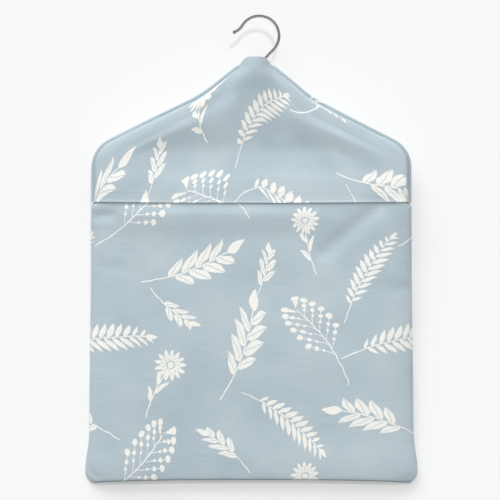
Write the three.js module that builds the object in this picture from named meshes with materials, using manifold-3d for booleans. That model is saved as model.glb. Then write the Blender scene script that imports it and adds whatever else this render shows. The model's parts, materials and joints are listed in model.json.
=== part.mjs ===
// Peg bag: a cotton bag worn over a small wooden hanger with a swivel hook.
// Millimetres, +Z up. The front of the bag faces -Y and the back faces +Y.
// The origin is the inside of the hook's crown, where a line or a rail carries the bag.

import * as THREE from 'three';
import { mergeVertices } from 'three/addons/utils/BufferGeometryUtils.js';
import Module from 'manifold-3d';

const wasm = await Module();
wasm.setup();

// Driving dimensions of the bag
const bagWidth = 330; // across the side seams below the mouth
const clothDrop = 435.6; // from the neck's top edge to the middle of the bottom seam
const mouthDrop = 149.3; // from the neck's top edge to the yoke's hem
const mouthOverlap = 20; // how far the pocket's top edge hides behind the yoke
const clothThickness = 1;
const fitGap = 0.3; // between pieces that touch
const overrun = 2; // how far a cutter passes its face

// Outline of the seam that joins front and back
const neckHalf = 15.3; // the neck gap ends here, where the piping starts
const neckFall = 10.4;
const neckHumpPower = 3;
const archOut = 55.7; // where the steep neck line meets the flatter arm line
const archFall = 42.4;
const archRun = 12; // length of each line that the bend between them uses up
const cornerFall = 95.3; // where the arm line would meet the side seam
const cornerRun = 19;
const hipFlare = 2.6; // the sides spread this much on their way down
const footFlare = 4; // and this much more in the last stretch above the corner
const footRun = 36;
const bluntCorner = 9; // the bottom corners are cut this far in
const bluntRise = 12;
const bottomSag = 2.9; // the corners hang lower than the middle
const bottomSagPower = 3;
const neckShift = -0.5; // the cloth hangs slid a little to the left on its hanger
const bodyShift = -4.7;
const shiftStart = 20;
const shiftEnd = 75;

// Piping in the shoulder seams
const pipingDiameter = 3.6;
const pipingCover = 0.5;
const pipingSides = 8;
const pipingStep = 9;

// Fullness of the cloth
const neckFunnel = 12.2; // half depth of the neck's top edge, which the turning hook clears
const funnelFall = 24;
const topRoll = 7; // how far below the seam the cloth reaches its full depth
const sideRollTop = 12;
const sideRollBody = 110;
const rollStart = 112;
const rollEnd = 240;
const bottomRoll = 90;
const edgeFullness = 0.7;
const hemSwell = 14; // half depth of the yoke at its hem
const hemSwellStart = 60;
const pocketTopSwell = 7;
const pocketSwell = 15;
const pocketSwellEnd = 290;
const backSwell = 10;
const backSwellEnd = 260;

// Flap, hems and seam allowances
const flapLength = 49.3; // the yoke's free part, from its bend down to its hem
const flapMargin = 11; // the yoke's side strips beside the flap
const hemWidth = 12;
const mouthStep = 4; // the side seam widens over this fall, where the piping ends
const seamAllowance = 9;
const insetStep = 0.1; // how finely the place of the seam allowance is searched for

// Wooden hanger
const hangerEndRoom = 18.1; // from the arm's end to the side seam of the yoke
const hangerThickness = 12;
const hangerEdge = 4;
const hangerSeat = 1.4; // below the seam line
const hangerNeckHalf = 15;
const hangerNeckSeat = 4.2; // the wooden neck's top, below the ends of the cloth's neck gap
const hangerNeckHeight = 31;
const armRootHeight = 25;
const armTipHeight = 17;
const neckRound = 4;
const tipRound = 7.6;
const underArchOut = 46;
const underRound = 14;
const edgeSteps = 3;
const curveSteps = 4;
const mergeTolerance = 0.0001;

// Wire hook
const wireDiameter = 2.8;
const wireSides = 10;
const hookRadius = 20.4; // of the wire's centre line
const hookOffset = 3.3; // crown's centre line from the shank's axis
const shankShow = 1.68; // straight wire between the hanger's neck and the bend
const leanAngle = 47; // of the straight above the bend, in degrees
const bendRadius = 5;
const curlStart = 149; // where the hook's end turns outwards, in degrees
const curlRadius = 16;
const curlAngle = 34;
const tipBall = 3.8;
const hookArcSteps = 14;
const curlSteps = 4;
const headDiameter = 6; // the wire's upset head, under the washer
const headFace = 4;
const headHeight = 1.8;
const washerDiameter = 8;
const washerThickness = 0.8;
const counterboreDepth = 6;
const boreSteps = 16;

const degrees = Math.PI / 180;
const wireRadius = wireDiameter / 2;
const pipingRadius = pipingDiameter / 2;
const halfGap = fitGap / 2;
const flapHinge = mouthDrop - flapLength;
const pipingOut = clothThickness + fitGap + pipingRadius; // centre line outside the seam
const yokeHalf = bagWidth / 2 - pipingOut - pipingRadius;
const hangerHalf = yokeHalf - hangerEndRoom;
const bodyHalf = bagWidth / 2 - clothThickness;
const pocketTop = mouthDrop - mouthOverlap;
const hangerDepth = hangerThickness / 2 + fitGap;
const layerLift = clothThickness + fitGap;
const sideTuck = clothThickness + 2 * fitGap;

const clothColour = 0xb5c5cf;
const trimColour = 0xa3b4be;
const cordColour = 0xf1efe8;
const woodColour = 0xd8b98c;
const steelColour = 0x9a9c9f;
const matte = (color) => new THREE.MeshStandardMaterial({ color, roughness: 0.9, side: THREE.DoubleSide });
const clothMaterial = () => matte(clothColour);
const trimMaterial = () => matte(trimColour);
const cordMaterial = () => matte(cordColour);
const woodMaterial = () => new THREE.MeshStandardMaterial({ color: woodColour, roughness: 0.55 });
const steelMaterial = () => new THREE.MeshStandardMaterial({
  color: steelColour,
  roughness: 0.25,
  metalness: 1,
});

function smooth(from, to, value) {
  return THREE.MathUtils.smoothstep(value, from, to);
}

function onCircle(angle, radius, centre) {
  return new THREE.Vector2(Math.cos(angle), Math.sin(angle)).multiplyScalar(radius).add(centre);
}

// The hook's bend above the wood: the straight that leans out to the arc, and the shank below it
function makeHookBend() {
  const lean = leanAngle * degrees;
  const arcStart = lean - Math.PI / 2;
  const centre = new THREE.Vector2(hookOffset, wireRadius - hookRadius);
  const touch = onCircle(arcStart, hookRadius, centre);
  const kink = new THREE.Vector2(0, touch.y - touch.x * Math.tan(lean));
  const bendRun = bendRadius * Math.tan((Math.PI / 2 - lean) / 2);
  const bendStart = new THREE.Vector2(0, kink.y - bendRun);
  const bendEnd = onCircle(lean, bendRun, kink);
  return { centre, arcStart, touch, kink, bendStart, bendEnd };
}

const hookBend = makeHookBend();
const hangerTop = shankShow - hookBend.bendStart.y; // below the crown
const hookReach = hangerTop - neckFall - hangerNeckSeat; // from the crown to the neck's top edge

function addMesh(parent, name, geometry, material) {
  const mesh = new THREE.Mesh(geometry, material);
  mesh.name = name;
  parent.add(mesh);
  return mesh;
}

// Seam line from the neck gap to the mouth, as a path of distance out and fall
function makeShoulderPath() {
  const neck = new THREE.Vector2(neckHalf, neckFall);
  const arch = new THREE.Vector2(archOut, archFall);
  const corner = new THREE.Vector2(yokeHalf, cornerFall);
  const mouth = new THREE.Vector2(yokeHalf, mouthDrop);
  const along = (from, to, run) => to.clone().sub(from).setLength(run).add(from);
  const archIn = along(arch, neck, archRun);
  const archEnd = along(arch, corner, archRun);
  const cornerIn = along(corner, arch, cornerRun);
  const cornerEnd = along(corner, mouth, cornerRun);
  const path = new THREE.CurvePath();
  path.add(new THREE.LineCurve(neck, archIn));
  path.add(new THREE.QuadraticBezierCurve(archIn, arch, archEnd));
  path.add(new THREE.LineCurve(archEnd, cornerIn));
  path.add(new THREE.QuadraticBezierCurve(cornerIn, corner, cornerEnd));
  path.add(new THREE.LineCurve(cornerEnd, mouth));
  return path;
}

const shoulderPath = makeShoulderPath();
const shoulderSamples = shoulderPath.getSpacedPoints(Math.round(yokeHalf));

// Fall of the cloth's upper edge at a distance from the middle
function topFall(across) {
  const out = Math.abs(across);
  if (out <= neckHalf) {
    return neckFall * (out / neckHalf) ** neckHumpPower;
  }
  for (let i = 1; i < shoulderSamples.length; i++) {
    const before = shoulderSamples[i - 1];
    const after = shoulderSamples[i];
    if (out <= after.x && after.x > before.x) {
      return THREE.MathUtils.mapLinear(out, before.x, after.x, before.y, after.y);
    }
  }
  return cornerFall + cornerRun;
}

function bottomFall(share) {
  return clothDrop + bottomSag * Math.abs(share) ** bottomSagPower;
}

// Half width of the cloth at a fall, between the side seams
function halfWidth(fall) {
  const lowest = bottomFall(1);
  const step = (bodyHalf - yokeHalf) * smooth(mouthDrop, mouthDrop + mouthStep, fall);
  const hip = hipFlare * smooth(mouthDrop, lowest, fall);
  const foot = footFlare * smooth(lowest - footRun, lowest - bluntRise, fall);
  const blunt = Math.max(0, fall - (lowest - bluntRise)) / bluntRise;
  return yokeHalf + step + hip + foot - bluntCorner * blunt ** 2;
}

function centreShift(fall) {
  return neckShift + (bodyShift - neckShift) * smooth(shiftStart, shiftEnd, fall);
}

// Each layer's half depth away from its edges, and its place in the stack of layers at the seam
const yokeLayer = {
  side: -1,
  depth: (fall) => hangerDepth + (hemSwell - hangerDepth) * smooth(hemSwellStart, mouthDrop, fall),
  lift: (fall) => layerLift * smooth(rollStart, pocketTop - fitGap, fall),
  tuck: () => 0,
};
const pocketLayer = {
  side: -1,
  depth: (fall) => (
    pocketTopSwell + (pocketSwell - pocketTopSwell) * smooth(pocketTop, pocketSwellEnd, fall)
  ),
  lift: () => 0,
  tuck: (fall) => sideTuck * (1 - smooth(mouthDrop, mouthDrop + mouthStep, fall)),
};
const backLayer = {
  side: 1,
  depth: (fall) => hangerDepth + (backSwell - hangerDepth) * smooth(flapHinge, backSwellEnd, fall),
  lift: () => 0,
  tuck: () => 0,
};

function edgeRise(distance, reach) {
  const share = Math.min(1, Math.max(0, distance) / reach);
  return Math.sin((Math.PI / 2) * share ** edgeFullness);
}

function roundRise(distance, reach) {
  const share = Math.min(1, Math.max(0, distance) / reach);
  return Math.sqrt(1 - (1 - share) ** 2);
}

// How far the cloth's inner face stands from the middle plane
function innerDepth(layer, across, fall) {
  const fromTop = fall - topFall(across);
  const fromSide = halfWidth(fall) - layer.tuck(fall) - Math.abs(across);
  const fromBottom = bottomFall(across / halfWidth(fall)) - fall;
  const body = smooth(rollStart, rollEnd, fall);
  const overHanger = roundRise(fromSide, sideRollTop);
  const side = THREE.MathUtils.lerp(overHanger, edgeRise(fromSide, sideRollBody), body);
  const full = layer.depth(fall) * side * edgeRise(fromBottom, bottomRoll);
  let depth = full * roundRise(fromTop, topRoll);
  if (Math.abs(across) < neckHalf) {
    const open = neckFunnel * Math.sqrt(1 - (across / neckHalf) ** 2);
    const closing = smooth(0, funnelFall, fromTop);
    const middle = roundRise(neckHalf - Math.abs(across), neckHalf);
    const funnel = THREE.MathUtils.lerp(open, full, closing);
    depth = THREE.MathUtils.lerp(depth, funnel, middle);
  }
  return halfGap + layer.lift(fall) + depth;
}

function clothPoint(layer, across, fall) {
  const depth = innerDepth(layer, across, fall);
  return new THREE.Vector3(across + centreShift(fall), layer.side * depth, -hookReach - fall);
}

// Unit normals of a grid of points, from its neighbours, turned to the layer's outside
function gridNormals(points, side) {
  const rows = points.length;
  const columns = points[0].length;
  return points.map((row, i) => row.map((point, j) => {
    const down = points[Math.min(rows - 1, i + 1)][j].clone().sub(points[Math.max(0, i - 1)][j]);
    const over = row[Math.min(columns - 1, j + 1)].clone().sub(row[Math.max(0, j - 1)]);
    const normal = down.cross(over).normalize();
    return normal.y * side < 0 ? normal.negate() : normal;
  }));
}

// A closed sheet between two offsets of a grid; cells that the mask leaves out stay open
function sheetGeometry(points, side, inner, outer, keeps = () => true) {
  const rows = points.length;
  const columns = points[0].length;
  const normals = gridNormals(points, side);
  const positions = [];
  for (const offset of [inner, outer]) {
    for (let i = 0; i < rows; i++) {
      for (let j = 0; j < columns; j++) {
        positions.push(...points[i][j].clone().addScaledVector(normals[i][j], offset));
      }
    }
  }
  const layerSize = rows * columns;
  const at = (i, j, layer) => layer * layerSize + i * columns + j;
  const kept = (i, j) => i >= 0 && j >= 0 && i < rows - 1 && j < columns - 1 && keeps(i, j);
  const indices = [];
  const quad = (a, b, c, d) => indices.push(a, b, c, a, c, d);
  for (let i = 0; i < rows - 1; i++) {
    for (let j = 0; j < columns - 1; j++) {
      if (!kept(i, j)) {
        continue;
      }
      quad(at(i, j, 1), at(i + 1, j, 1), at(i + 1, j + 1, 1), at(i, j + 1, 1));
      quad(at(i, j, 0), at(i, j + 1, 0), at(i + 1, j + 1, 0), at(i + 1, j, 0));
      if (!kept(i - 1, j)) {
        quad(at(i, j, 0), at(i, j, 1), at(i, j + 1, 1), at(i, j + 1, 0));
      }
      if (!kept(i + 1, j)) {
        quad(at(i + 1, j, 1), at(i + 1, j, 0), at(i + 1, j + 1, 0), at(i + 1, j + 1, 1));
      }
      if (!kept(i, j - 1)) {
        quad(at(i, j, 0), at(i + 1, j, 0), at(i + 1, j, 1), at(i, j, 1));
      }
      if (!kept(i, j + 1)) {
        quad(at(i, j + 1, 1), at(i + 1, j + 1, 1), at(i + 1, j + 1, 0), at(i, j + 1, 0));
      }
    }
  }
  return closedGeometry(positions, indices);
}

function signedVolume(positions, indices) {
  const corner = (i) => new THREE.Vector3().fromArray(positions, 3 * indices[i]);
  let volume = 0;
  for (let i = 0; i < indices.length; i += 3) {
    volume += corner(i).dot(corner(i + 1).cross(corner(i + 2)));
  }
  return volume;
}

function closedGeometry(positions, indices) {
  if (signedVolume(positions, indices) < 0) {
    indices.reverse();
  }
  const used = new Map();
  const kept = [];
  const renumbered = indices.map((index) => {
    if (!used.has(index)) {
      used.set(index, used.size);
      kept.push(...positions.slice(3 * index, 3 * index + 3));
    }
    return used.get(index);
  });
  const geometry = new THREE.BufferGeometry();
  geometry.setAttribute('position', new THREE.Float32BufferAttribute(kept, 3));
  geometry.setIndex(renumbered);
  geometry.computeVertexNormals();
  return geometry;
}

function toManifold(geometry) {
  const bare = geometry.clone();
  bare.deleteAttribute('normal');
  bare.deleteAttribute('uv');
  const merged = mergeVertices(bare, mergeTolerance);
  return new wasm.Manifold(new wasm.Mesh({
    numProp: 3,
    vertProperties: new Float32Array(merged.attributes.position.array),
    triVerts: new Uint32Array(merged.index.array),
  }));
}

function fromManifold(solid) {
  const mesh = solid.getMesh();
  const geometry = new THREE.BufferGeometry();
  geometry.setAttribute('position', new THREE.BufferAttribute(mesh.vertProperties, 3));
  geometry.setIndex(new THREE.BufferAttribute(mesh.triVerts, 1));
  geometry.computeVertexNormals();
  return geometry;
}

// Columns of the cloth's grids, as shares of the half width, mirrored to the left
const columnShares = [0, 0.032, 0.064, 0.095, 0.15, 0.23, 0.32, 0.36, 0.46, 0.58, 0.7, 0.81, 0.88];
const edgeColumnShares = [0.965, 0.985, 1];
const topRowShares = [0, 0.1, 0.28, 0.56, 1];
const yokeRowShares = [0.2, 0.45, 0.72, 1];
const flapRowShares = [0, 0.35, 0.7, 1];

function mirrored(shares) {
  const left = shares.filter((share) => share > 0).map((share) => -share).reverse();
  return [...left, ...shares];
}

function gridOf(layer, acrossList, fallsAt) {
  const columns = acrossList.map((across) => fallsAt(across));
  return columns[0].map((_, i) => acrossList.map((across, j) => {
    const fall = columns[j][i];
    const spread = (halfWidth(fall) - layer.tuck(fall)) / yokeHalf;
    return clothPoint(layer, across * spread, fall);
  }));
}

const flapHalf = yokeHalf - flapMargin;

function yokeColumns() {
  const inner = columnShares.map((share) => share * yokeHalf);
  const edges = edgeColumnShares.map((share) => share * yokeHalf);
  return mirrored([...inner, flapHalf, flapHalf + fitGap, ...edges]);
}

// Rows from the seam over the hanger, then down to the flap's bend and to the hem
function yokeFalls(across) {
  const top = topFall(across);
  const rolled = topRowShares.map((share) => top + share * topRoll);
  const start = top + topRoll;
  const bend = Math.max(flapHinge - fitGap, start + fitGap);
  const upper = yokeRowShares.map((share) => start + share * (bend - start));
  const flapStart = bend + fitGap;
  const lower = flapRowShares.map((share) => flapStart + share * (mouthDrop - flapStart));
  return [...rolled, ...upper, ...lower];
}

function addYoke(parent) {
  const columns = yokeColumns();
  const points = gridOf(yokeLayer, columns, yokeFalls);
  const bendRow = topRowShares.length + yokeRowShares.length - 1;
  const isFlap = (i, j) => i > bendRow && columns[j] >= -flapHalf && columns[j + 1] <= flapHalf;
  const isGap = (i, j) => {
    const beside = columns[j] >= -flapHalf - fitGap && columns[j + 1] <= flapHalf + fitGap;
    return i >= bendRow && beside && !isFlap(i, j);
  };
  const isYoke = (i, j) => !isFlap(i, j) && !isGap(i, j);
  addMesh(parent, 'front_yoke', sheetGeometry(points, -1, 0, clothThickness, isYoke), clothMaterial());
  addMesh(parent, 'yoke_flap', sheetGeometry(points, -1, 0, clothThickness, isFlap), clothMaterial());
}

// A turned hem lies inside the cloth that it belongs to, along that cloth's edge
function addHem(parent, name, layer, columns, edgeFall, endFall) {
  const points = gridOf(layer, columns, () => [edgeFall, (edgeFall + endFall) / 2, endFall]);
  const geometry = sheetGeometry(points, layer.side, -fitGap - clothThickness, -fitGap);
  addMesh(parent, name, geometry, trimMaterial());
}

const bodyRowShares = [0, 0.08, 0.18, 0.3, 0.45, 0.6, 0.73, 0.84, 0.93, 1];
const footRowShares = [0.3, 0.62, 0.84, 1];

// Falls below the mouth, down to the blunt corners and the bottom seam
function bodyFalls(across) {
  const share = Math.min(1, Math.abs(across) / yokeHalf);
  const lowest = bottomFall(share);
  const blunt = lowest - bluntRise;
  const start = mouthDrop + mouthStep;
  const body = bodyRowShares.map((row) => start + row * (blunt - start));
  const foot = footRowShares.map((row) => blunt + row * bluntRise);
  return [...body, ...foot];
}

function bodyColumns() {
  const inner = columnShares.filter((share) => share === 0 || share > neckHalf / yokeHalf);
  return mirrored([...inner, ...edgeColumnShares].map((share) => share * yokeHalf));
}

function addPocket(parent) {
  const points = gridOf(pocketLayer, bodyColumns(), (across) => [
    pocketTop,
    pocketTop + hemWidth / 2,
    pocketTop + hemWidth,
    mouthDrop,
    ...bodyFalls(across),
  ]);
  addMesh(parent, 'front_pocket', sheetGeometry(points, -1, 0, clothThickness), clothMaterial());
}

function addBack(parent) {
  const columns = mirrored([...columnShares, ...edgeColumnShares].map((share) => share * yokeHalf));
  const points = gridOf(backLayer, columns, (across) => {
    const top = topFall(across);
    const start = top + topRoll;
    return [
      ...topRowShares.map((share) => top + share * topRoll),
      ...yokeRowShares.map((share) => start + share * (mouthDrop - start)),
      ...bodyFalls(across),
    ];
  });
  addMesh(parent, 'back_panel', sheetGeometry(points, 1, 0, clothThickness), clothMaterial());
}

function ring(radius, sides) {
  const points = [];
  for (let i = 0; i < sides; i++) {
    const angle = (2 * Math.PI * i) / sides;
    points.push(new THREE.Vector2(radius * Math.cos(angle), radius * Math.sin(angle)));
  }
  return points;
}

// Route of the piping, outside the seam line, from the neck to the mouth
function pipingRoute(side) {
  const count = Math.round(shoulderPath.getLength() / pipingStep);
  const points = [];
  for (let i = 0; i <= count; i++) {
    const at = shoulderPath.getPointAt(i / count);
    const tangent = shoulderPath.getTangentAt(i / count);
    const across = at.x + tangent.y * pipingOut;
    const fall = at.y - tangent.x * pipingOut;
    points.push(new THREE.Vector3(side * across + centreShift(at.y), 0, -hookReach - fall));
  }
  return new THREE.CatmullRomCurve3(points);
}

function addPiping(parent, side, word) {
  const route = pipingRoute(side);
  const steps = Math.round(route.getLength() / pipingStep);
  const cover = new THREE.Shape(ring(pipingRadius, pipingSides));
  cover.holes.push(new THREE.Path(ring(pipingRadius - pipingCover, pipingSides)));
  const sweep = { extrudePath: route, steps, bevelEnabled: false };
  addMesh(parent, `piping_${word}`, new THREE.ExtrudeGeometry(cover, sweep), trimMaterial());
  const cordRadius = pipingRadius - pipingCover - fitGap;
  const cord = new THREE.Shape(ring(cordRadius, pipingSides));
  addMesh(parent, `piping_cord_${word}`, new THREE.ExtrudeGeometry(cord, sweep), cordMaterial());
}

// The nearest place to the edge where both cloths leave room for the folded seam allowance
function seamInset(across, fall, stepOut, stepDown) {
  const need = clothThickness + 2 * fitGap;
  const room = (inset) => Math.min(...[backLayer, pocketLayer].map(
    (layer) => innerDepth(layer, across - stepOut * inset, fall - stepDown * inset),
  ));
  let inset = 0;
  while (inset < seamAllowance && room(inset) < need) {
    inset += insetStep;
  }
  return inset + fitGap;
}

function addSideSeam(parent, side, word) {
  const end = clothDrop - bluntRise - seamAllowance;
  const rows = bodyFalls(yokeHalf).filter((fall) => fall <= end);
  const points = rows.map((fall) => {
    const edge = halfWidth(fall) - seamInset(halfWidth(fall), fall, 1, 0);
    return [edge, edge - seamAllowance].map((out) => new THREE.Vector3(
      side * out + centreShift(fall), 0, -hookReach - fall,
    ));
  });
  const geometry = sheetGeometry(points, 1, -clothThickness, clothThickness);
  addMesh(parent, `side_seam_${word}`, geometry, trimMaterial());
}

function addBottomSeam(parent) {
  const half = bodyHalf - bluntCorner - seamAllowance;
  const columns = mirrored(columnShares.filter((share) => share === 0 || share > neckHalf / yokeHalf));
  const points = [0, 1].map((row) => columns.map((share) => {
    const across = share * half;
    const lowest = bottomFall(share);
    const inset = seamInset(Math.abs(across), lowest, 0, 1);
    const fall = lowest - inset - row * seamAllowance;
    return new THREE.Vector3(across + centreShift(fall), 0, -hookReach - fall);
  }));
  addMesh(parent, 'bottom_seam', sheetGeometry(points, 1, -clothThickness, clothThickness), trimMaterial());
}

// Right half of the hanger's outline, x out and y up. Its arms lie under the seam on the side where
// the cloth's slide brings the seam lowest, and it is alike on both sides of the hook.
function hangerOutline() {
  const armSlope = (cornerFall - archFall) / (yokeHalf - archOut);
  const onSeat = (out) => {
    const fall = archFall + armSlope * (out - bodyShift - archOut);
    return new THREE.Vector2(out, -hookReach - fall - hangerSeat);
  };
  const arch = onSeat(archOut + neckShift + bodyShift / 2);
  const tip = onSeat(hangerHalf);
  const armAngle = Math.atan(armSlope);
  const squareEnd = new THREE.Vector2(-Math.sin(armAngle), -Math.cos(armAngle));
  const tipLow = squareEnd.multiplyScalar(armTipHeight).add(tip);
  const underArch = new THREE.Vector2(underArchOut, arch.y - armRootHeight);
  const neck = new THREE.Vector2(hangerNeckHalf, -hangerTop);
  const under = new THREE.Vector2(hangerNeckHalf, neck.y - hangerNeckHeight);
  return { neck, arch, tip, tipLow, underArch, under };
}

// A closed outline through corners, each rounded over a run of both of its lines
function roundedOutline(corners, runs) {
  const outline = new THREE.Shape();
  corners.forEach((corner, i) => {
    const before = corners[(i + corners.length - 1) % corners.length];
    const after = corners[(i + 1) % corners.length];
    const start = before.clone().sub(corner).setLength(runs[i]).add(corner);
    const end = after.clone().sub(corner).setLength(runs[i]).add(corner);
    if (i === 0) {
      outline.moveTo(start.x, start.y);
    } else {
      outline.lineTo(start.x, start.y);
    }
    outline.quadraticCurveTo(corner.x, corner.y, end.x, end.y);
  });
  return outline;
}

function addHanger(parent) {
  const { neck, arch, tip, tipLow, underArch, under } = hangerOutline();
  const right = [neck, arch, tip, tipLow, underArch, under];
  const rounds = [neckRound, archRun, tipRound, tipRound, underRound, underRound];
  const flip = (point) => new THREE.Vector2(-point.x, point.y);
  const outline = roundedOutline(
    [...right, ...right.map(flip).reverse()],
    [...rounds, ...rounds.slice().reverse()],
  );
  const blank = new THREE.ExtrudeGeometry(outline, {
    depth: hangerThickness - 2 * hangerEdge,
    bevelThickness: hangerEdge,
    bevelSize: hangerEdge,
    bevelOffset: -hangerEdge,
    bevelSegments: edgeSteps,
    curveSegments: curveSteps,
  });
  blank.rotateX(Math.PI / 2);
  blank.translate(0, hangerThickness / 2 - hangerEdge, 0);
  const boreRadius = wireRadius + fitGap;
  const height = neck.y - under.y + 2 * overrun;
  const bore = new THREE.CylinderGeometry(boreRadius, boreRadius, height, boreSteps);
  bore.rotateX(Math.PI / 2);
  bore.translate(0, 0, (neck.y + under.y) / 2);
  const seatRadius = washerDiameter / 2 + fitGap;
  const seatDepth = counterboreDepth + overrun;
  const seat = new THREE.CylinderGeometry(seatRadius, seatRadius, seatDepth, boreSteps);
  seat.rotateX(Math.PI / 2);
  seat.translate(0, 0, under.y + (counterboreDepth - overrun) / 2);
  const solid = toManifold(blank).subtract(toManifold(bore)).subtract(toManifold(seat));
  addMesh(parent, 'hanger', fromManifold(solid), woodMaterial());
  return under.y + counterboreDepth;
}

// Centre line of the wire, from its head inside the hanger to the end of its curl
function hookRoute(headTop) {
  const { centre, arcStart, touch, kink, bendStart, bendEnd } = hookBend;
  const turn = curlStart * degrees;
  const bend = new THREE.QuadraticBezierCurve(bendStart, kink, bendEnd);
  const head = new THREE.Vector2(0, headTop);
  const points = [
    head,
    head.clone().lerp(bendStart, 0.5),
    ...bend.getPoints(2),
    bendEnd.clone().lerp(touch, 0.5),
  ];
  for (let i = 0; i <= hookArcSteps; i++) {
    points.push(onCircle(THREE.MathUtils.lerp(arcStart, turn, i / hookArcSteps), hookRadius, centre));
  }
  const curlCentre = onCircle(turn, hookRadius + curlRadius, centre);
  for (let i = 1; i <= curlSteps; i++) {
    points.push(onCircle(turn + Math.PI - (curlAngle * degrees * i) / curlSteps, curlRadius, curlCentre));
  }
  return points.map((point) => new THREE.Vector3(point.x, 0, point.y));
}

function addHook(parent, seatZ) {
  const washerTop = seatZ - fitGap;
  const headTop = washerTop - washerThickness - fitGap;
  const points = hookRoute(headTop);
  const route = new THREE.CatmullRomCurve3(points, false, 'centripetal');
  const wire = new THREE.ExtrudeGeometry(new THREE.Shape(ring(wireRadius, wireSides)), {
    extrudePath: route,
    steps: Math.round(route.getLength() / wireDiameter),
    bevelEnabled: false,
  });
  const head = new THREE.LatheGeometry([
    new THREE.Vector2(0, -headHeight),
    new THREE.Vector2(headFace / 2, -headHeight),
    new THREE.Vector2(headDiameter / 2, -headHeight / 2),
    new THREE.Vector2(headDiameter / 2, 0),
    new THREE.Vector2(wireRadius, 0),
    new THREE.Vector2(wireRadius, wireDiameter),
    new THREE.Vector2(0, wireDiameter),
  ], wireSides);
  head.rotateX(Math.PI / 2);
  head.translate(0, 0, headTop);
  const ball = new THREE.SphereGeometry(tipBall / 2, wireSides, wireSides / 2 + 1);
  ball.translate(...points.at(-1));
  const solid = toManifold(wire).add(toManifold(head)).add(toManifold(ball));
  addMesh(parent, 'hook', fromManifold(solid), steelMaterial());

  const hole = wireRadius + fitGap;
  const washer = new THREE.LatheGeometry([
    new THREE.Vector2(hole, 0),
    new THREE.Vector2(washerDiameter / 2, 0),
    new THREE.Vector2(washerDiameter / 2, washerThickness),
    new THREE.Vector2(hole, washerThickness),
    new THREE.Vector2(hole, 0),
  ], boreSteps);
  washer.rotateX(Math.PI / 2);
  washer.translate(0, 0, washerTop - washerThickness);
  addMesh(parent, 'hook_washer', washer, steelMaterial());
}

const bag = new THREE.Group();
addYoke(bag);
const insideFlap = (across) => Math.abs(across) <= flapHalf;
addHem(bag, 'yoke_hem', yokeLayer, yokeColumns().filter(insideFlap), mouthDrop, mouthDrop - hemWidth);
addPocket(bag);
addHem(bag, 'pocket_hem', pocketLayer, bodyColumns().filter(insideFlap), pocketTop, pocketTop + hemWidth);
addBack(bag);
for (const [side, word] of [[-1, 'left'], [1, 'right']]) {
  addPiping(bag, side, word);
  addSideSeam(bag, side, word);
}
addBottomSeam(bag);
const seatZ = addHanger(bag);
addHook(bag, seatZ);
bag.position.x = -hookOffset;

export default bag;
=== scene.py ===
# Peg bag on a small hanger: the looks around the fixed frame.
# Blender works in metres; the tables and the cloth functions below are in millimetres.
import json
import math

import bmesh
import bpy
import numpy as np
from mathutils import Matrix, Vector, noise


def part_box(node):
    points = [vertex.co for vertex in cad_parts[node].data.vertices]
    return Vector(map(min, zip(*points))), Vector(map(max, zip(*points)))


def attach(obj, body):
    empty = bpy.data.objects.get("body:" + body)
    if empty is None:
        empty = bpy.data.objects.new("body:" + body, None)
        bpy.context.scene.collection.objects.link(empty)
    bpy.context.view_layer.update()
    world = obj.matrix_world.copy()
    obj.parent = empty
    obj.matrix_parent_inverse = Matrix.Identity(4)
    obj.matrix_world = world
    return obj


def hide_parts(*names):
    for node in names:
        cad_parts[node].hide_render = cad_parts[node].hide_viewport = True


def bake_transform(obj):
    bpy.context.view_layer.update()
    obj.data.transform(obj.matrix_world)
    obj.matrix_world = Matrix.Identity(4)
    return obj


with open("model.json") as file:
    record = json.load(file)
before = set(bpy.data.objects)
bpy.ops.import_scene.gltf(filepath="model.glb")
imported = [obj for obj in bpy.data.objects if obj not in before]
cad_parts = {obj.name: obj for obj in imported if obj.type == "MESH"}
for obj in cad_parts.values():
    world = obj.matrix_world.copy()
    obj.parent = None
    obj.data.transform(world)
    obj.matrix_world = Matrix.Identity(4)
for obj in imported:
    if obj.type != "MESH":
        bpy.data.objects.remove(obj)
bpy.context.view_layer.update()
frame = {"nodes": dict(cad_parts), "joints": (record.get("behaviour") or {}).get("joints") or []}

mm = 0.001

jointPlace = {joint["name"]: Vector(joint["pos_m"]) / mm for joint in frame["joints"]}
shankX = jointPlace["hook_swivel"].x
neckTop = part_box("front_yoke")[1].z / mm
mouthDrop = round(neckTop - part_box("front_yoke")[0].z / mm, 1)  # from the neck's top edge to the hem
pocketDrop = round(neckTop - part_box("front_pocket")[1].z / mm, 1)
hingeDrop = round(neckTop - jointPlace["mouth_open"].z, 1)
lowestDrop = round(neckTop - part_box("front_pocket")[0].z / mm, 1)
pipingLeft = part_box("piping_left")[0].x / mm
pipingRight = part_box("piping_right")[1].x / mm
bagHalf = round((pipingRight - pipingLeft) / 2, 1)
bagMiddle = round((pipingRight + pipingLeft) / 2, 1)


# Small helpers for colours, nodes and meshes

def linearColour(hexText):
    channels = [int(hexText[i:i + 2], 16) / 255 for i in (1, 3, 5)]
    return [c / 12.92 if c <= 0.04045 else ((c + 0.055) / 1.055) ** 2.4 for c in channels] + [1]


# Sets a node's inputs: a node or a socket is linked, and any other value is written to the input itself
def feedNode(tree, node, inputs):
    for key, value in inputs.items():
        socket = node.inputs[key]
        if isinstance(value, bpy.types.Node):
            value = value.outputs[0]
        if isinstance(value, bpy.types.NodeSocket):
            tree.links.new(value, socket)
        else:
            socket.default_value = value


def addNode(tree, kind, inputs=None, **settings):
    node = tree.nodes.new(kind)
    for name, value in settings.items():
        setattr(node, name, value)
    feedNode(tree, node, inputs or {})
    return node


def addObject(name, data):
    added = bpy.data.objects.new(name, data)
    bpy.context.scene.collection.objects.link(added)
    return added


def smooth(start, end, value):
    share = np.clip((value - start) / (end - start), 0, 1)
    return share * share * (3 - 2 * share)


def blendShare(low, high, share):
    return low + (high - low) * share


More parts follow.
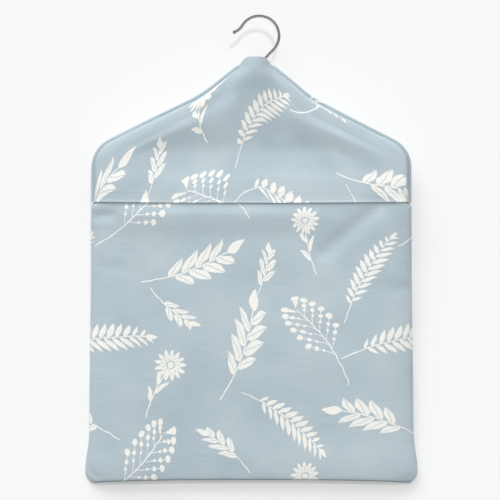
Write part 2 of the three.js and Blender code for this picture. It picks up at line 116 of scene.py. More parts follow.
# Nearly even slope from start to end, with soft ends
def softRamp(start, end, value):
    share = np.clip((value - start) / (end - start), 0, 1)
    return (share + smooth(0, 1, share)) / 2


def unit(vectors):
    return vectors / np.maximum(np.linalg.norm(vectors, axis=-1, keepdims=True), 1e-9)


# How far along a line of points each point lies
def runAlong(line):
    return np.concatenate([[0], np.cumsum(np.linalg.norm(np.diff(line, axis=0), axis=1))])


# The cloth's outline. A fall is a distance down from the neck's top edge, and across is from the middle line

cloth = {
    "neckHalf": 16.8, "neckFall": 11, "neckHumpPower": 4,
    "archOut": 55.7, "archFall": 42.4, "archRun": 12,
    "cornerFall": 95.3, "cornerRun": 19, "bendPoints": 25,
    "pipingReach": 4.1,  # from the seam line to the outside of the piping
    "clothEdge": 1, "mouthStep": 4,
    "hipFlare": 2.6, "footFlare": 4, "footRun": 54,
    "bluntCorner": 9, "bluntRise": 12, "bottomSag": 2.9, "sagPower": 3, "footLift": 1.2, "hemSag": 1,
    "neckShift": -0.5, "shiftStart": 20, "shiftEnd": 75,
    "halfGap": 0.02, "middle": 0.5, "layerLift": 1.0, "thickness": 0.6, "sideTuck": 1.6,
    "neckFunnel": 12.3, "funnelFall": 62, "neckBlend": 3, "seamLift": 0.5,
}
yokeHalf = bagHalf - cloth["pipingReach"]
bodyHalf = bagHalf - cloth["clothEdge"]


def shoulderLine():
    c = cloth
    neck = np.array([c["neckHalf"], c["neckFall"]])
    arch = np.array([c["archOut"], c["archFall"]])
    corner = np.array([yokeHalf, c["cornerFall"]])
    mouth = np.array([yokeHalf, mouthDrop])

    def along(start, end, run):
        return start + (end - start) * run / np.linalg.norm(end - start)

    def bend(start, middle, end):
        t = np.linspace(0, 1, c["bendPoints"])[:, None]
        return (1 - t) ** 2 * start + 2 * t * (1 - t) * middle + t * t * end

    archBend = bend(along(arch, neck, c["archRun"]), arch, along(arch, corner, c["archRun"]))
    cornerBend = bend(along(corner, arch, c["cornerRun"]), corner, along(corner, mouth, c["cornerRun"]))
    return np.vstack([neck, archBend, cornerBend, mouth])


shoulder = shoulderLine()


def topFall(across):
    out = np.abs(across)
    hump = cloth["neckFall"] * (out / cloth["neckHalf"]) ** cloth["neckHumpPower"]
    slope = np.interp(out, shoulder[:-1, 0], shoulder[:-1, 1])
    return np.where(out <= cloth["neckHalf"], hump, slope)


def bottomFall(share):
    return lowestDrop - cloth["footLift"] - cloth["bottomSag"] * (1 - np.abs(share) ** cloth["sagPower"])


def halfWidth(fall):
    c = cloth
    blunt = lowestDrop - c["bluntRise"]
    step = (bodyHalf - yokeHalf) * smooth(mouthDrop, mouthDrop + c["mouthStep"], fall)
    hip = c["hipFlare"] * smooth(mouthDrop, lowestDrop, fall)
    foot = c["footFlare"] * smooth(lowestDrop - c["footRun"], blunt, fall)
    cut = np.clip((fall - blunt) / c["bluntRise"], 0, None)
    return yokeHalf + step + hip + foot - c["bluntCorner"] * cut ** 2


def sideGap(across, fall):
    return halfWidth(fall) - np.abs(across)


def footGap(across, fall):
    return bottomFall(across / halfWidth(fall)) - fall


def middleX(fall):
    share = smooth(cloth["shiftStart"], cloth["shiftEnd"], fall)
    return blendShare(shankX + cloth["neckShift"], bagMiddle, share)


def edgeRise(distance, reach, fullness=0.7):
    share = np.clip(distance / reach, 0, 1)
    return np.sin(np.pi / 2 * share ** fullness)


def roundRise(distance, reach):
    share = np.clip(distance / reach, 0, 1)
    return np.sqrt(1 - (1 - share) ** 2)


# Beside the piping the cloth steps up at once, and then rounds over more slowly
def seamRise(distance, reach):
    quick = roundRise(distance, drape["seamRise"])
    return blendShare(roundRise(distance, reach), quick, drape["seamShare"])


# How the cloth hangs: over the hanger's arms, in under them, and out again to the mouth

drape = {
    "seamRise": 2.0, "seamShare": 0.55, "armRoll": 13, "armDepth": 6.6, "armLean": 1.6,
    "dipSlope": 0.17, "dipMost": 5.8, "dipLead": 5, "dipTilt": -0.045, "dipFoot": 98, "dipLeast": 18,
    "dipFadeStart": 95, "dipFadeEnd": 150,
    "hemRise": 90, "hemDepth": 8.8, "hemFlare": 0.7, "flareRise": 3.4, "sagReach": 60,
    "sideRoll": 14, "bodyRoll": 34, "rollStart": 112, "rollEnd": 240,
    "footRoll": 1.6, "footFullness": 0.8, "backFootRoll": 9,
    "pocketTopDepth": 7.9, "mouthDepth": 8.8, "crestDepth": 10.6, "crestFall": 161,
    "crestRight": (50, 92), "crestLeft": (112, 150),
    "waistDepth": 8.4, "waistFall": 188, "bellyDepth": 9.6, "bellyFall": 300,
    "footDepth": 7.4, "footFall": 412, "footDrop": 2.0, "footDropReach": 28,
    "backDepth": 6.6, "backBelly": 7.6, "backStart": 100, "backEnd": 300, "backFoot": 3.6,
}
armEdge = {  # the hanger's lower edge below the seam, at distances from its middle
    "out": [0, 15, 46, 62, 142],
    "below": [45, 37, 31, 25, 19],
}

# Soft valleys in the front: ends in world x and z, half width and depth
valleys = [
    {"name": "left, under the mouth", "ends": (-178, -206, -152, -204), "half": 5, "deep": 1.6},
    {"name": "slanted, right", "ends": (124, -194, 66, -242), "half": 9, "deep": 2.0},
    {"name": "right edge", "ends": (128, -279, 166, -281), "half": 8, "deep": 1.0},
    {"name": "left edge", "ends": (-178, -256, -140, -258), "half": 6, "deep": 0.6},
    {"name": "left, slanted", "ends": (-120, -262, -98, -236), "half": 7, "deep": 0.45},
    {"name": "low corner", "ends": (-176, -466, -160, -478), "half": 3, "deep": 0.9},
    {"name": "right corner", "ends": (158, -470, 146, -479), "half": 3, "deep": 0.6},
    {"name": "beside the neck", "ends": (18, -62, 22, -118), "half": 8, "deep": 1.3},
    {"name": "left of the neck", "ends": (-30, -62, -52, -104), "half": 9, "deep": 0.9},
    {"name": "right flank", "ends": (136, -340, 150, -430), "half": 9, "deep": 0.5},
]
unevenness = {
    "soft": 0.55, "softSize": 60, "softStretch": 1.6, "fine": 0.16, "fineSize": 19, "fineSeed": 5,
    "pucker": 0.28, "puckerStep": 8.5, "puckerFade": 6, "puckerWander": 1.7, "wanderShare": 0.31,
    "edgeFade": 5,
}


def valleyDepth(x, z):
    total = np.zeros_like(x)
    for valley in valleys:
        x0, z0, x1, z1 = valley["ends"]
        length = math.hypot(x1 - x0, z1 - z0)
        along = ((x - x0) * (x1 - x0) + (z - z0) * (z1 - z0)) / length ** 2
        aside = ((x - x0) * (z1 - z0) - (z - z0) * (x1 - x0)) / length
        past = np.clip(np.abs(along - 0.5) - 0.5, 0, None) * length
        away = np.hypot(aside, past)
        total += valley["deep"] * np.exp(-(away / valley["half"]) ** 2)
    return total


def softNoise(x, z, size, seed):
    flat = [noise.noise(Vector((a / size, b / size, seed))) for a, b in zip(x.ravel(), z.ravel())]
    return np.array(flat).reshape(x.shape)


# Soft unevenness all over, small puckers along the seams, and on the front the valleys
def surfaceRelief(x, z, fromEdge, seed, folds):
    u = unevenness
    relief = u["soft"] * softNoise(x, z * u["softStretch"], u["softSize"], seed)
    relief += u["fine"] * softNoise(x, z, u["fineSize"], seed + u["fineSeed"])
    along = (x + z) * 2 * np.pi / u["puckerStep"]
    wave = np.sin(along + u["puckerWander"] * np.sin(along * u["wanderShare"] + seed))
    relief += u["pucker"] * wave * np.exp(-fromEdge / u["puckerFade"]) * np.clip(fromEdge, 0, 1)
    if folds:
        relief -= valleyDepth(x, z)
    return relief * np.clip(fromEdge / u["edgeFade"], 0, 1)


# The depth of each layer in front of or behind the seam's plane

def sideRise(distance, fall):
    d = drape
    overArm = seamRise(distance, d["sideRoll"])
    body = edgeRise(distance, d["bodyRoll"])
    return blendShare(overArm, body, smooth(d["rollStart"], d["rollEnd"], fall))


# Distance of the shoulder seam from the middle line
def seamOut(fall):
    return np.interp(fall, shoulder[:-1, 1], shoulder[:-1, 0])


# The neck stands open round the hook and closes over the hanger below it
def overNeck(across, fall, depth):
    c = cloth
    share = np.clip(np.abs(across) / seamOut(np.maximum(fall, c["neckFall"])), 0, 1)
    opened = c["neckFunnel"] * (1 - share ** 2) * (1 - smooth(c["neckFall"], c["funnelFall"], fall))
    power = c["neckBlend"]
    return (depth ** power + opened ** power) ** (1 / power)


def yokeDepth(across, fall):
    c, d = cloth, drape
    below = fall - topFall(across)
    out = np.abs(across)
    drop = np.interp(out, armEdge["out"], armEdge["below"])
    fade = 1 - smooth(d["dipFadeStart"], d["dipFadeEnd"], out)
    lean = d["armLean"] * fade * smooth(d["armRoll"], drop, below)
    start = topFall(across) + drop - d["dipLead"] - d["dipTilt"] * across
    end = np.maximum(d["dipFoot"], start + d["dipLeast"])
    dip = fade * np.minimum(d["dipSlope"] * (end - start), d["dipMost"]) * softRamp(start, end, fall)
    overArm = d["armDepth"] + lean - dip
    full = blendShare(overArm, d["hemDepth"], softRamp(d["hemRise"], mouthDrop, fall))
    full = full + d["hemFlare"] * smooth(mouthDrop - d["flareRise"], mouthDrop, fall)
    full = full * sideRise(sideGap(across, fall), fall)
    lift = c["layerLift"] * smooth(d["rollStart"], pocketDrop, fall)
    lift = lift + c["seamLift"] * (1 - smooth(hingeDrop, mouthDrop, fall))
    return c["halfGap"] + lift + overNeck(across, fall, full * seamRise(below, d["armRoll"]))


def pocketTuck(fall):
    return cloth["sideTuck"] * (1 - smooth(mouthDrop, mouthDrop + cloth["mouthStep"], fall))


def pocketDepth(across, fall):
    d = drape
    top = blendShare(d["pocketTopDepth"], d["mouthDepth"], smooth(pocketDrop, mouthDrop, fall))
    held = (1 - smooth(*d["crestRight"], across)) * (1 - smooth(*d["crestLeft"], -across))
    crest = blendShare(top, d["crestDepth"], held * smooth(mouthDrop, d["crestFall"], fall))
    waist = blendShare(crest, d["waistDepth"], smooth(d["crestFall"], d["waistFall"], fall))
    belly = blendShare(waist, d["bellyDepth"], smooth(d["waistFall"], d["bellyFall"], fall))
    full = blendShare(belly, d["footDepth"], smooth(d["bellyFall"], d["footFall"], fall))
    fromSide = halfWidth(fall) - pocketTuck(fall) - np.abs(across)
    toFoot = footGap(across, fall)
    full = full - d["footDrop"] * (1 - np.clip(toFoot / d["footDropReach"], 0, 1)) ** 2
    foot = edgeRise(toFoot, d["footRoll"], d["footFullness"])
    return cloth["halfGap"] + full * sideRise(fromSide, fall) * foot


def backDepth(across, fall):
    d = drape
    below = fall - topFall(across)
    full = blendShare(d["backDepth"], d["backBelly"], smooth(d["backStart"], d["backEnd"], fall))
    full = blendShare(full, d["backFoot"], smooth(d["backEnd"], lowestDrop, fall))
    full = full * sideRise(sideGap(across, fall), fall)
    full = full * edgeRise(footGap(across, fall), d["backFootRoll"], d["footFullness"])
    lift = cloth["seamLift"] * (1 - smooth(hingeDrop, mouthDrop, fall))
    return cloth["halfGap"] + lift + overNeck(across, fall, full * seamRise(below, d["armRoll"]))


# Grids of cloth, with rows that run down and columns that run across

def spaced(start, end, step):
    return list(np.linspace(start, end, max(2, round(abs(end - start) / step) + 1)))


def crowded(start, end, count):
    turns = np.linspace(0, np.pi / 2, count + 1)
    return list(start + (end - start) * (1 - np.cos(turns)))


grid = {
    "neckStep": 1.3, "neckReach": 18.2, "columnStep": 2.7, "rowStep": 2.6, "flapStep": 1.7,
    "edgeReach": 12, "edgeCount": 9, "rollCount": 8, "footCount": 14,
    "foldRadius": 0.45, "foldSteps": 7, "hemWidth": 12, "hemStep": 2,
    "leastGap": 0.3, "probe": 0.25, "steepest": 4,
}


def clothColumns(extra=()):
    g = grid
    edge = crowded(yokeHalf, yokeHalf - g["edgeReach"], g["edgeCount"])[::-1]
    half = spaced(0, g["neckReach"], g["neckStep"])
    half += spaced(g["neckReach"], edge[0], g["columnStep"])[1:] + edge[1:]
    if extra:
        half = [a for a in half if min(abs(a - e) for e in extra) > g["leastGap"]] + list(extra)
    half = sorted(half)
    return np.array([-a for a in half[:0:-1]] + half)


# Rows of a hem past its fold: how far down, how far inside the face, and how far the cloth has turned
def hemRows(edgeFall, atTop):
    g = grid
    up = 1 if atTop else -1  # which way the cloth runs on from its fold
    edge = edgeFall + up * cloth["thickness"] / 2
    turns = np.linspace(0, np.pi, g["foldSteps"] + 1)
    falls = [edge + up * g["foldRadius"] * (1 - np.sin(t)) for t in turns]
    insets = [g["foldRadius"] * (1 - np.cos(t)) for t in turns]
    rest = spaced(0, g["hemWidth"] - g["foldRadius"], g["hemStep"])[1:]
    falls += [falls[-1] + up * run for run in rest]
    insets += [insets[-1]] * len(rest)
    angles = list(turns) + [np.pi] * len(rest)
    return falls, insets, angles


# The mouth sags a little towards its middle
def mouthSag(across, fall):
    above = smooth(hingeDrop, mouthDrop, fall)
    share = above * (1 - smooth(mouthDrop, mouthDrop + drape["sagReach"], fall))
    return cloth["hemSag"] * (1 - np.clip(np.abs(across) / yokeHalf, 0, 1) ** 2) * share


def surfaceAt(across, fall, depthAt, side):
    height = neckTop - fall - mouthSag(across, fall)
    return np.stack([across + middleX(fall), side * depthAt(across, fall), height], -1)


# Middle, outward direction and cut map of a sheet; its hem is turned to the inside at its end or top
def layCloth(columns, falls, layer, hemAt=None, hemFall=0):
    depthAt, side, step = layer["depth"], layer["side"], grid["probe"]
    insets = angles = np.zeros(len(falls))
    if hemAt:
        hemFalls, hemInsets, hemAngles = hemRows(hemFall, hemAt == "top")
        hem = np.repeat(np.array(hemFalls)[:, None], len(columns), axis=1)
        falls = np.vstack([falls, hem]) if hemAt == "end" else np.vstack([hem[::-1], falls])
        pad = np.zeros(len(falls) - len(hem))
        insets = np.concatenate([pad, hemInsets] if hemAt == "end" else [hemInsets[::-1], pad])
        angles = np.concatenate([pad, hemAngles] if hemAt == "end" else [hemAngles[::-1], pad])
    across = columns[None, :] * (halfWidth(falls) - layer["tuck"](falls)) / yokeHalf
    down = surfaceAt(across, falls + step, depthAt, side) - surfaceAt(across, falls - step, depthAt, side)
    over = surfaceAt(across + step, falls, depthAt, side) - surfaceAt(across - step, falls, depthAt, side)
    outward = unit(np.cross(down, over)) * -side
    points = surfaceAt(across, falls, depthAt, side)
    fromEdge = layer["fromEdge"](across, falls)
    points[..., 1] += side * surfaceRelief(points[..., 0], points[..., 2], fromEdge, layer["seed"], side < 0)
    middle = points + outward * (cloth["middle"] - insets[:, None, None])
    turned = unit(down) * (-1 if hemAt == "top" else 1)
    facing = outward * np.cos(angles)[:, None, None] + turned * np.sin(angles)[:, None, None]
    slope = (depthAt(across + step, falls) - depthAt(across - step, falls)) / (2 * step)
    stretch = np.hypot(1, np.clip(slope, -grid["steepest"], grid["steepest"]))
    run = np.zeros_like(across)
    run[:, 1:] = np.cumsum(np.diff(across, axis=1) * (stretch[:, 1:] + stretch[:, :-1]) / 2, axis=1)
    run -= run[:, [len(columns) // 2]]
    fallRun = np.zeros_like(across)
    fallRun[1:] = np.cumsum(np.linalg.norm(np.diff(middle, axis=0), axis=-1), axis=0)
    return {"middle": middle, "facing": facing, "run": run, "fallRun": fallRun}


def sheetPart(sheet, rows, columns):
    return {key: grid[rows, columns] for key, grid in sheet.items()}


# A closed shell of cloth thickness round a sheet: printed outside, its reverse inside
def makeShell(name, sheet, mapStart, materials, thickness=None):
    middle, facing = sheet["middle"], sheet["facing"]
    rows, columns = middle.shape[:2]
    half = facing * (thickness or cloth["thickness"]) / 2
    vertices = np.concatenate([(middle + half).reshape(-1, 3), (middle - half).reshape(-1, 3)])
    count = rows * columns
    index = np.arange(count).reshape(rows, columns)
    corners = [index[:-1, :-1], index[1:, :-1], index[1:, 1:], index[:-1, 1:]]
    outside = np.stack(corners, -1).reshape(-1, 4)
    inside = outside[:, ::-1] + count
    rim = np.concatenate([index[0, :-1], index[:-1, -1], index[-1, :0:-1], index[:0:-1, 0]])
    after = np.roll(rim, -1)
    walls = np.stack([rim, after, after + count, rim + count], -1)
    faces = np.concatenate([outside, inside, walls])
    cross = np.cross(middle[1:, :-1] - middle[:-1, :-1], middle[:-1, 1:] - middle[:-1, :-1])
    if (cross * facing[:-1, :-1]).sum() < 0:
        faces = faces[:, ::-1]
    slots = np.repeat([0, len(materials) - 1, 0], [len(outside), len(inside), len(walls)])
    cut = np.stack([sheet["run"] + mapStart[0], mapStart[1] - sheet["fallRun"]], -1).reshape(-1, 2)
    return makeMesh(name, vertices, faces, materials, np.concatenate([cut, cut]), slots)


weldGap = 0.001  # mm


def makeMesh(name, vertices, faces, materials, cut=None, slots=None, sharpAngle=40):
    mesh = bpy.data.meshes.new(name)
    mesh.from_pydata((np.asarray(vertices) * mm).tolist(), [], [list(map(int, face)) for face in faces])
    for material in materials:
        mesh.materials.append(material)
    if slots is not None:
        mesh.polygons.foreach_set("material_index", np.asarray(slots, dtype=np.int32))
    if cut is not None:
        corner = np.zeros(len(mesh.loops), dtype=np.int32)
        mesh.loops.foreach_get("vertex_index", corner)
        mesh.uv_layers.new(name="cut").data.foreach_set("uv", (np.asarray(cut)[corner] * mm).ravel())
    tidy = bmesh.new()
    tidy.from_mesh(mesh)
    bmesh.ops.remove_doubles(tidy, verts=tidy.verts, dist=weldGap * mm)
    tidy.to_mesh(mesh)
    tidy.free()
    mesh.validate()
    mesh.shade_smooth()
    mesh.set_sharp_from_angle(angle=math.radians(sharpAngle))
    return addObject(name, mesh)


# The print: leaf sprays, berries and daisies in one colour, on a repeating tile

# A group that turns a place on the print into ink, from 0 to 1
def startInkGroup(name):
    tree = bpy.data.node_groups.new(name, "ShaderNodeTree")
    tree.interface.new_socket("Place", in_out="INPUT", socket_type="NodeSocketVector")
    tree.interface.new_socket("Ink", in_out="OUTPUT", socket_type="NodeSocketFloat")
    return tree, addNode(tree, "NodeGroupInput")


# One motif about its own middle, worked out in steps of a name, an operation and its terms
def printMotif(name, steps):
    tree, start = startInkGroup(name)
    split = addNode(tree, "ShaderNodeSeparateXYZ", {0: start.outputs[0]})
    values = {"x": split.outputs[0], "y": split.outputs[1]}
    for key, operation, *terms in steps:
        inputs = {i: values.get(term, term) for i, term in enumerate(terms)}
        values[key] = addNode(tree, "ShaderNodeMath", inputs, operation=operation)
    addNode(tree, "NodeGroupOutput", {"Ink": values["ink"]})
    return tree


# Steps that both kinds of spray share: a bent stem, and a row of side shoots that lean forward
def shootSteps(spray):
    lean = math.radians(spray["angle"])
    return [
        ("centred", "ADD", "x", spray["length"] / 2),
        ("squared", "MULTIPLY", "centred", "centred"),
        ("bow", "MULTIPLY", "squared", spray["bend"]),
        ("off", "SUBTRACT", "y", "bow"),
        ("far", "ABSOLUTE", "off"),
        ("hand", "SIGN", "off"),
        ("leaning", "MULTIPLY", "far", -1 / math.tan(lean)),
        ("root", "ADD", "centred", "leaning"),
        ("staggered", "MULTIPLY_ADD", "hand", spray["gap"] / 4, "root"),
        ("cell", "DIVIDE", "staggered", spray["gap"]),
        ("number", "ROUND", "cell"),
        ("station", "MULTIPLY", "number", spray["gap"]),
        ("aside", "SUBTRACT", "staggered", "station"),
        ("away", "ABSOLUTE", "aside"),
        ("phase", "MULTIPLY_ADD", "station", spray["taperEnd"] / spray["length"], spray["taperStart"]),
        ("size", "SINE", "phase"),
        ("reach", "MULTIPLY", "size", spray["shoot"] * math.sin(lean)),
        ("reachHeld", "MAXIMUM", "reach", printPen["leastReach"]),
        ("after", "GREATER_THAN", "station", spray["gap"] / 2),
        ("before", "LESS_THAN", "station", spray["length"]),
        ("within", "MULTIPLY", "after", "before"),
        ("nearStem", "LESS_THAN", "far", spray["stem"]),
        ("pastTail", "GREATER_THAN", "centred", -spray["tail"]),
        ("shortOfTip", "LESS_THAN", "centred", spray["length"]),
        ("stemSpan", "MULTIPLY", "pastTail", "shortOfTip"),
        ("stem", "MULTIPLY", "nearStem", "stemSpan"),
    ]


def leafSpray(name, spray):
    lean = math.radians(spray["angle"])
    return printMotif(name, shootSteps(spray) + [
        ("along", "DIVIDE", "far", "reachHeld"),
        ("held", "MINIMUM", "along", 1),
        ("eased", "POWER", "held", spray["leafForm"]),
        ("halfTurn", "MULTIPLY", "eased", math.pi),
        ("belly", "SINE", "halfTurn"),
        ("wide", "MULTIPLY", "belly", spray["wide"] / 2 / math.sin(lean)),
        ("sized", "MULTIPLY", "wide", "size"),
        ("leaf", "GREATER_THAN", "sized", "away"),
        ("offVein", "GREATER_THAN", "away", spray["vein"]),
        ("veined", "MULTIPLY", "leaf", "offVein"),
        ("leaves", "MULTIPLY", "veined", "within"),
        ("pastEnd", "SUBTRACT", "centred", spray["length"]),
        ("tipShare", "DIVIDE", "pastEnd", spray["tip"]),
        ("tipLow", "MAXIMUM", "tipShare", 0),
        ("tipHeld", "MINIMUM", "tipLow", 1),
        ("tipEased", "POWER", "tipHeld", spray["leafForm"]),
        ("tipTurn", "MULTIPLY", "tipEased", math.pi),
        ("tipBelly", "SINE", "tipTurn"),
        ("tipWide", "MULTIPLY_ADD", "tipBelly", spray["wide"] / 2, -printPen["tipLoss"]),
        ("tipLeaf", "GREATER_THAN", "tipWide", "far"),
        ("green", "MAXIMUM", "leaves", "tipLeaf"),
        ("ink", "MAXIMUM", "green", "stem"),
    ])


def berrySpray(name, spray):
    lean = math.radians(spray["angle"])
    steps = shootSteps(spray) + [
        ("thin", "LESS_THAN", "away", spray["twig"] / math.sin(lean)),
        ("short", "LESS_THAN", "far", "reach"),
        ("twigs", "MULTIPLY", "thin", "short"),
    ]
    last = "twigs"
    for i, (share, size) in enumerate(spray["berries"]):
        steps += [
            (f"rise{i}", "MULTIPLY_ADD", "reach", -share, "far"),
            (f"slide{i}", "MULTIPLY_ADD", f"rise{i}", 1 / math.tan(lean), "aside"),
            (f"riseSquare{i}", "MULTIPLY", f"rise{i}", f"rise{i}"),
            (f"square{i}", "MULTIPLY_ADD", f"slide{i}", f"slide{i}", f"riseSquare{i}"),
            (f"berry{i}", "LESS_THAN", f"square{i}", size ** 2),
            (f"sum{i}", "MAXIMUM", last, f"berry{i}"),
        ]
        last = f"sum{i}"
    return printMotif(name, steps + [
        ("shoots", "MULTIPLY", last, "within"),
        ("ink", "MAXIMUM", "shoots", "stem"),
    ])


def daisyHead(name, daisy):
    sector = 2 * math.pi / daisy["petals"]
    half = daisy["petalHalf"]
    return printMotif(name, [
        ("xx", "MULTIPLY", "x", "x"),
        ("square", "MULTIPLY_ADD", "y", "y", "xx"),
        ("radius", "SQRT", "square"),
        ("angle", "ARCTAN2", "y", "x"),
        ("cell", "DIVIDE", "angle", sector),
        ("number", "ROUND", "cell"),
        ("offCell", "SUBTRACT", "cell", "number"),
        ("offAngle", "MULTIPLY", "offCell", sector),
        ("cosine", "COSINE", "offAngle"),
        ("sine", "SINE", "offAngle"),
        ("along", "MULTIPLY", "radius", "cosine"),
        ("across", "MULTIPLY", "radius", "sine"),
        ("alongShare", "MULTIPLY_ADD", "along", 1 / half, -daisy["petalOut"] / half),
        ("acrossShare", "DIVIDE", "across", daisy["petalWide"] / 2),
        ("acrossSquare", "MULTIPLY", "acrossShare", "acrossShare"),
        ("oval", "MULTIPLY_ADD", "alongShare", "alongShare", "acrossSquare"),
        ("petal", "LESS_THAN", "oval", 1),
        ("acrossAbs", "ABSOLUTE", "across"),
        ("offLine", "GREATER_THAN", "acrossAbs", daisy["line"]),
        ("beyondLine", "GREATER_THAN", "radius", daisy["petalOut"]),
        ("open", "MAXIMUM", "offLine", "beyondLine"),
        ("lined", "MULTIPLY", "petal", "open"),
        ("clear", "GREATER_THAN", "radius", daisy["centre"] + daisy["ring"]),
        ("petals", "MULTIPLY", "lined", "clear"),
        ("disc", "LESS_THAN", "radius", daisy["centre"]),
        ("ink", "MAXIMUM", "petals", "disc"),
    ])


printTile = (312, 262)  # one repeat of the print, mm
printScale = 1.14
printPen = {"leastReach": 0.5, "tipLoss": 0.02, "wanderScale": 0.11, "wander": 3.2}  # a drawn line wanders
# Sizes in mm and angles in degrees; a shoot grows and shrinks along its stem with the sine of its taper
sprays = {
    "broadLeaf": {
        "length": 62, "shoot": 22, "wide": 8.6, "gap": 12.5, "angle": 44, "bend": 0.0030, "tail": 16,
        "stem": 0.5, "vein": 0.32, "leafForm": 0.72, "tip": 17, "taperStart": 0.62, "taperEnd": 1.9,
    },
    "fineLeaf": {
        "length": 74, "shoot": 15, "wide": 4.6, "gap": 6.6, "angle": 55, "bend": -0.0026, "tail": 15,
        "stem": 0.45, "vein": 0.0, "leafForm": 0.8, "tip": 9, "taperStart": 0.5, "taperEnd": 2.15,
    },
    "budLeaf": {
        "length": 34, "shoot": 14, "wide": 5.4, "gap": 9.5, "angle": 40, "bend": 0.006, "tail": 12,
        "stem": 0.45, "vein": 0.25, "leafForm": 0.7, "tip": 10, "taperStart": 0.9, "taperEnd": 1.5,
    },
    "daisyStem": {
        "length": 46, "shoot": 14, "wide": 4.4, "gap": 16.5, "angle": 34, "bend": -0.004, "tail": 4,
        "stem": 0.5, "vein": 0.0, "leafForm": 0.7, "tip": 3, "taperStart": 1.2, "taperEnd": 1.2,
    },
}
berrySprays = {
    "berries": {
        "length": 58, "shoot": 25, "gap": 9.5, "angle": 42, "bend": 0.0035, "tail": 24,
        "stem": 0.5, "twig": 0.28, "taperStart": 0.95, "taperEnd": 1.75,
        "berries": ((1, 2.7), (0.68, 1.9), (0.42, 1.3)),  # share of the shoot's reach, and radius
    },
}
daisies = {
    "daisy": {
        "petals": 13, "petalOut": 8.6, "petalHalf": 5.6, "petalWide": 3.7,
        "line": 0.22, "centre": 2.7, "ring": 0.9,
    },
}
# Kind, middle on the tile in mm, turn in degrees, and size as a share of its kind
printLayout = [
    ("broadLeaf", (34, 196), 62, 1.08), ("berries", (112, 214), 118, 1.0),
    ("fineLeaf", (192, 210), 20, 1.1), ("budLeaf", (268, 234), -48, 1.0),
    ("daisyStem", (250, 156), 74, 1.0), ("daisy", (267, 180), 0, 1.0),
    ("fineLeaf", (79, 127), -28, 0.98), ("broadLeaf", (168, 128), 152, 1.0),
    ("budLeaf", (14, 98), 130, 1.1), ("berries", (240, 76), 38, 1.05),
    ("daisyStem", (94, 38), 112, 0.95), ("daisy", (93, 67), 10, 0.9),
    ("broadLeaf", (292, 14), 12, 1.05), ("fineLeaf", (152, 14), 70, 0.95),
    ("budLeaf", (54, 12), 64, 1.0),
]


# Ink of the whole print at a place on the cut cloth, in millimetres
def printGroup():
    kinds = {name: leafSpray(name, spray) for name, spray in sprays.items()}
    kinds.update({name: berrySpray(name, spray) for name, spray in berrySprays.items()})
    kinds.update({name: daisyHead(name, daisy) for name, daisy in daisies.items()})
    pen = printPen
    tree, start = startInkGroup("sprayPrint")
    wander = addNode(tree, "ShaderNodeTexNoise", {"Vector": start, "Scale": pen["wanderScale"], "Detail": 2})
    centred = addNode(tree, "ShaderNodeVectorMath", {0: wander.outputs["Color"], 1: (0.5,) * 3},
                      operation="SUBTRACT")
    reach = (pen["wander"], pen["wander"], 0)
    drawn = addNode(tree, "ShaderNodeVectorMath", {0: centred, 1: reach, 2: start}, operation="MULTIPLY_ADD")
    half = Vector((printTile[0] / 2, printTile[1] / 2, 1))
    ink = None
    for kind, (u, v), turn, size in printLayout:
        scale = 1 / size / printScale
        moved = addNode(tree, "ShaderNodeVectorMath", {0: drawn, 1: (u, v, 0)}, operation="SUBTRACT")
        tiled = addNode(tree, "ShaderNodeVectorMath", {0: moved, 1: half, 2: -half}, operation="WRAP")
        turned = addNode(tree, "ShaderNodeMapping", {
            "Vector": tiled, "Rotation": (0, 0, -math.radians(turn)), "Scale": (scale,) * 3,
        })
        motif = addNode(tree, "ShaderNodeGroup", {"Place": turned}, node_tree=kinds[kind])
        if ink is None:
            ink = motif
        else:
            ink = addNode(tree, "ShaderNodeMath", {0: ink, 1: motif}, operation="MAXIMUM")
    addNode(tree, "NodeGroupOutput", {"Ink": ink})
    return tree


# The finishes

def startMaterial(name):
    material = bpy.data.materials.new(name)
    material.use_nodes = True
    tree = material.node_tree
    tree.nodes.clear()
    shader = addNode(tree, "ShaderNodeBsdfPrincipled")
    addNode(tree, "ShaderNodeOutputMaterial", {"Surface": shader})
    return material, tree, shader


# Each pair of colours is mixed by a soft noise; cloud bounds it for the yarns, and dry for the ink
cottonFinish = {
    "ground": ("#BFCCD2", "#AFBFC8"), "ink": ("#F7F7F2", "#EEEDE6"),
    "reverseGround": ("#C4CFD4", "#BFCCD2"), "reverseInk": ("#D0D9DC", "#D0D9DC"),
    # the piping's ground: the cloth's colours painted deeper, as painted shade
    "biasPaintedShadeGround": ("#B3C0C7", "#A5B5BE"),
    "slubLength": 26, "slubHeight": 0.9, "slubStrength": 0.75,  # thicker yarns across the cloth, mm
    "patchSize": 70, "cloud": (0.65, 1.1), "dryScale": 0.9, "dry": (0.42, 0.7),
    "thread": 1.1,  # the real threads lie 0.4 mm apart; drawn coarser so that they show
    "weaveHeight": 0.05, "slubRelief": 0.09,
    "roughness": 0.88, "specular": 0.2, "sheen": 0.12, "sheenSpread": 0.5,
}


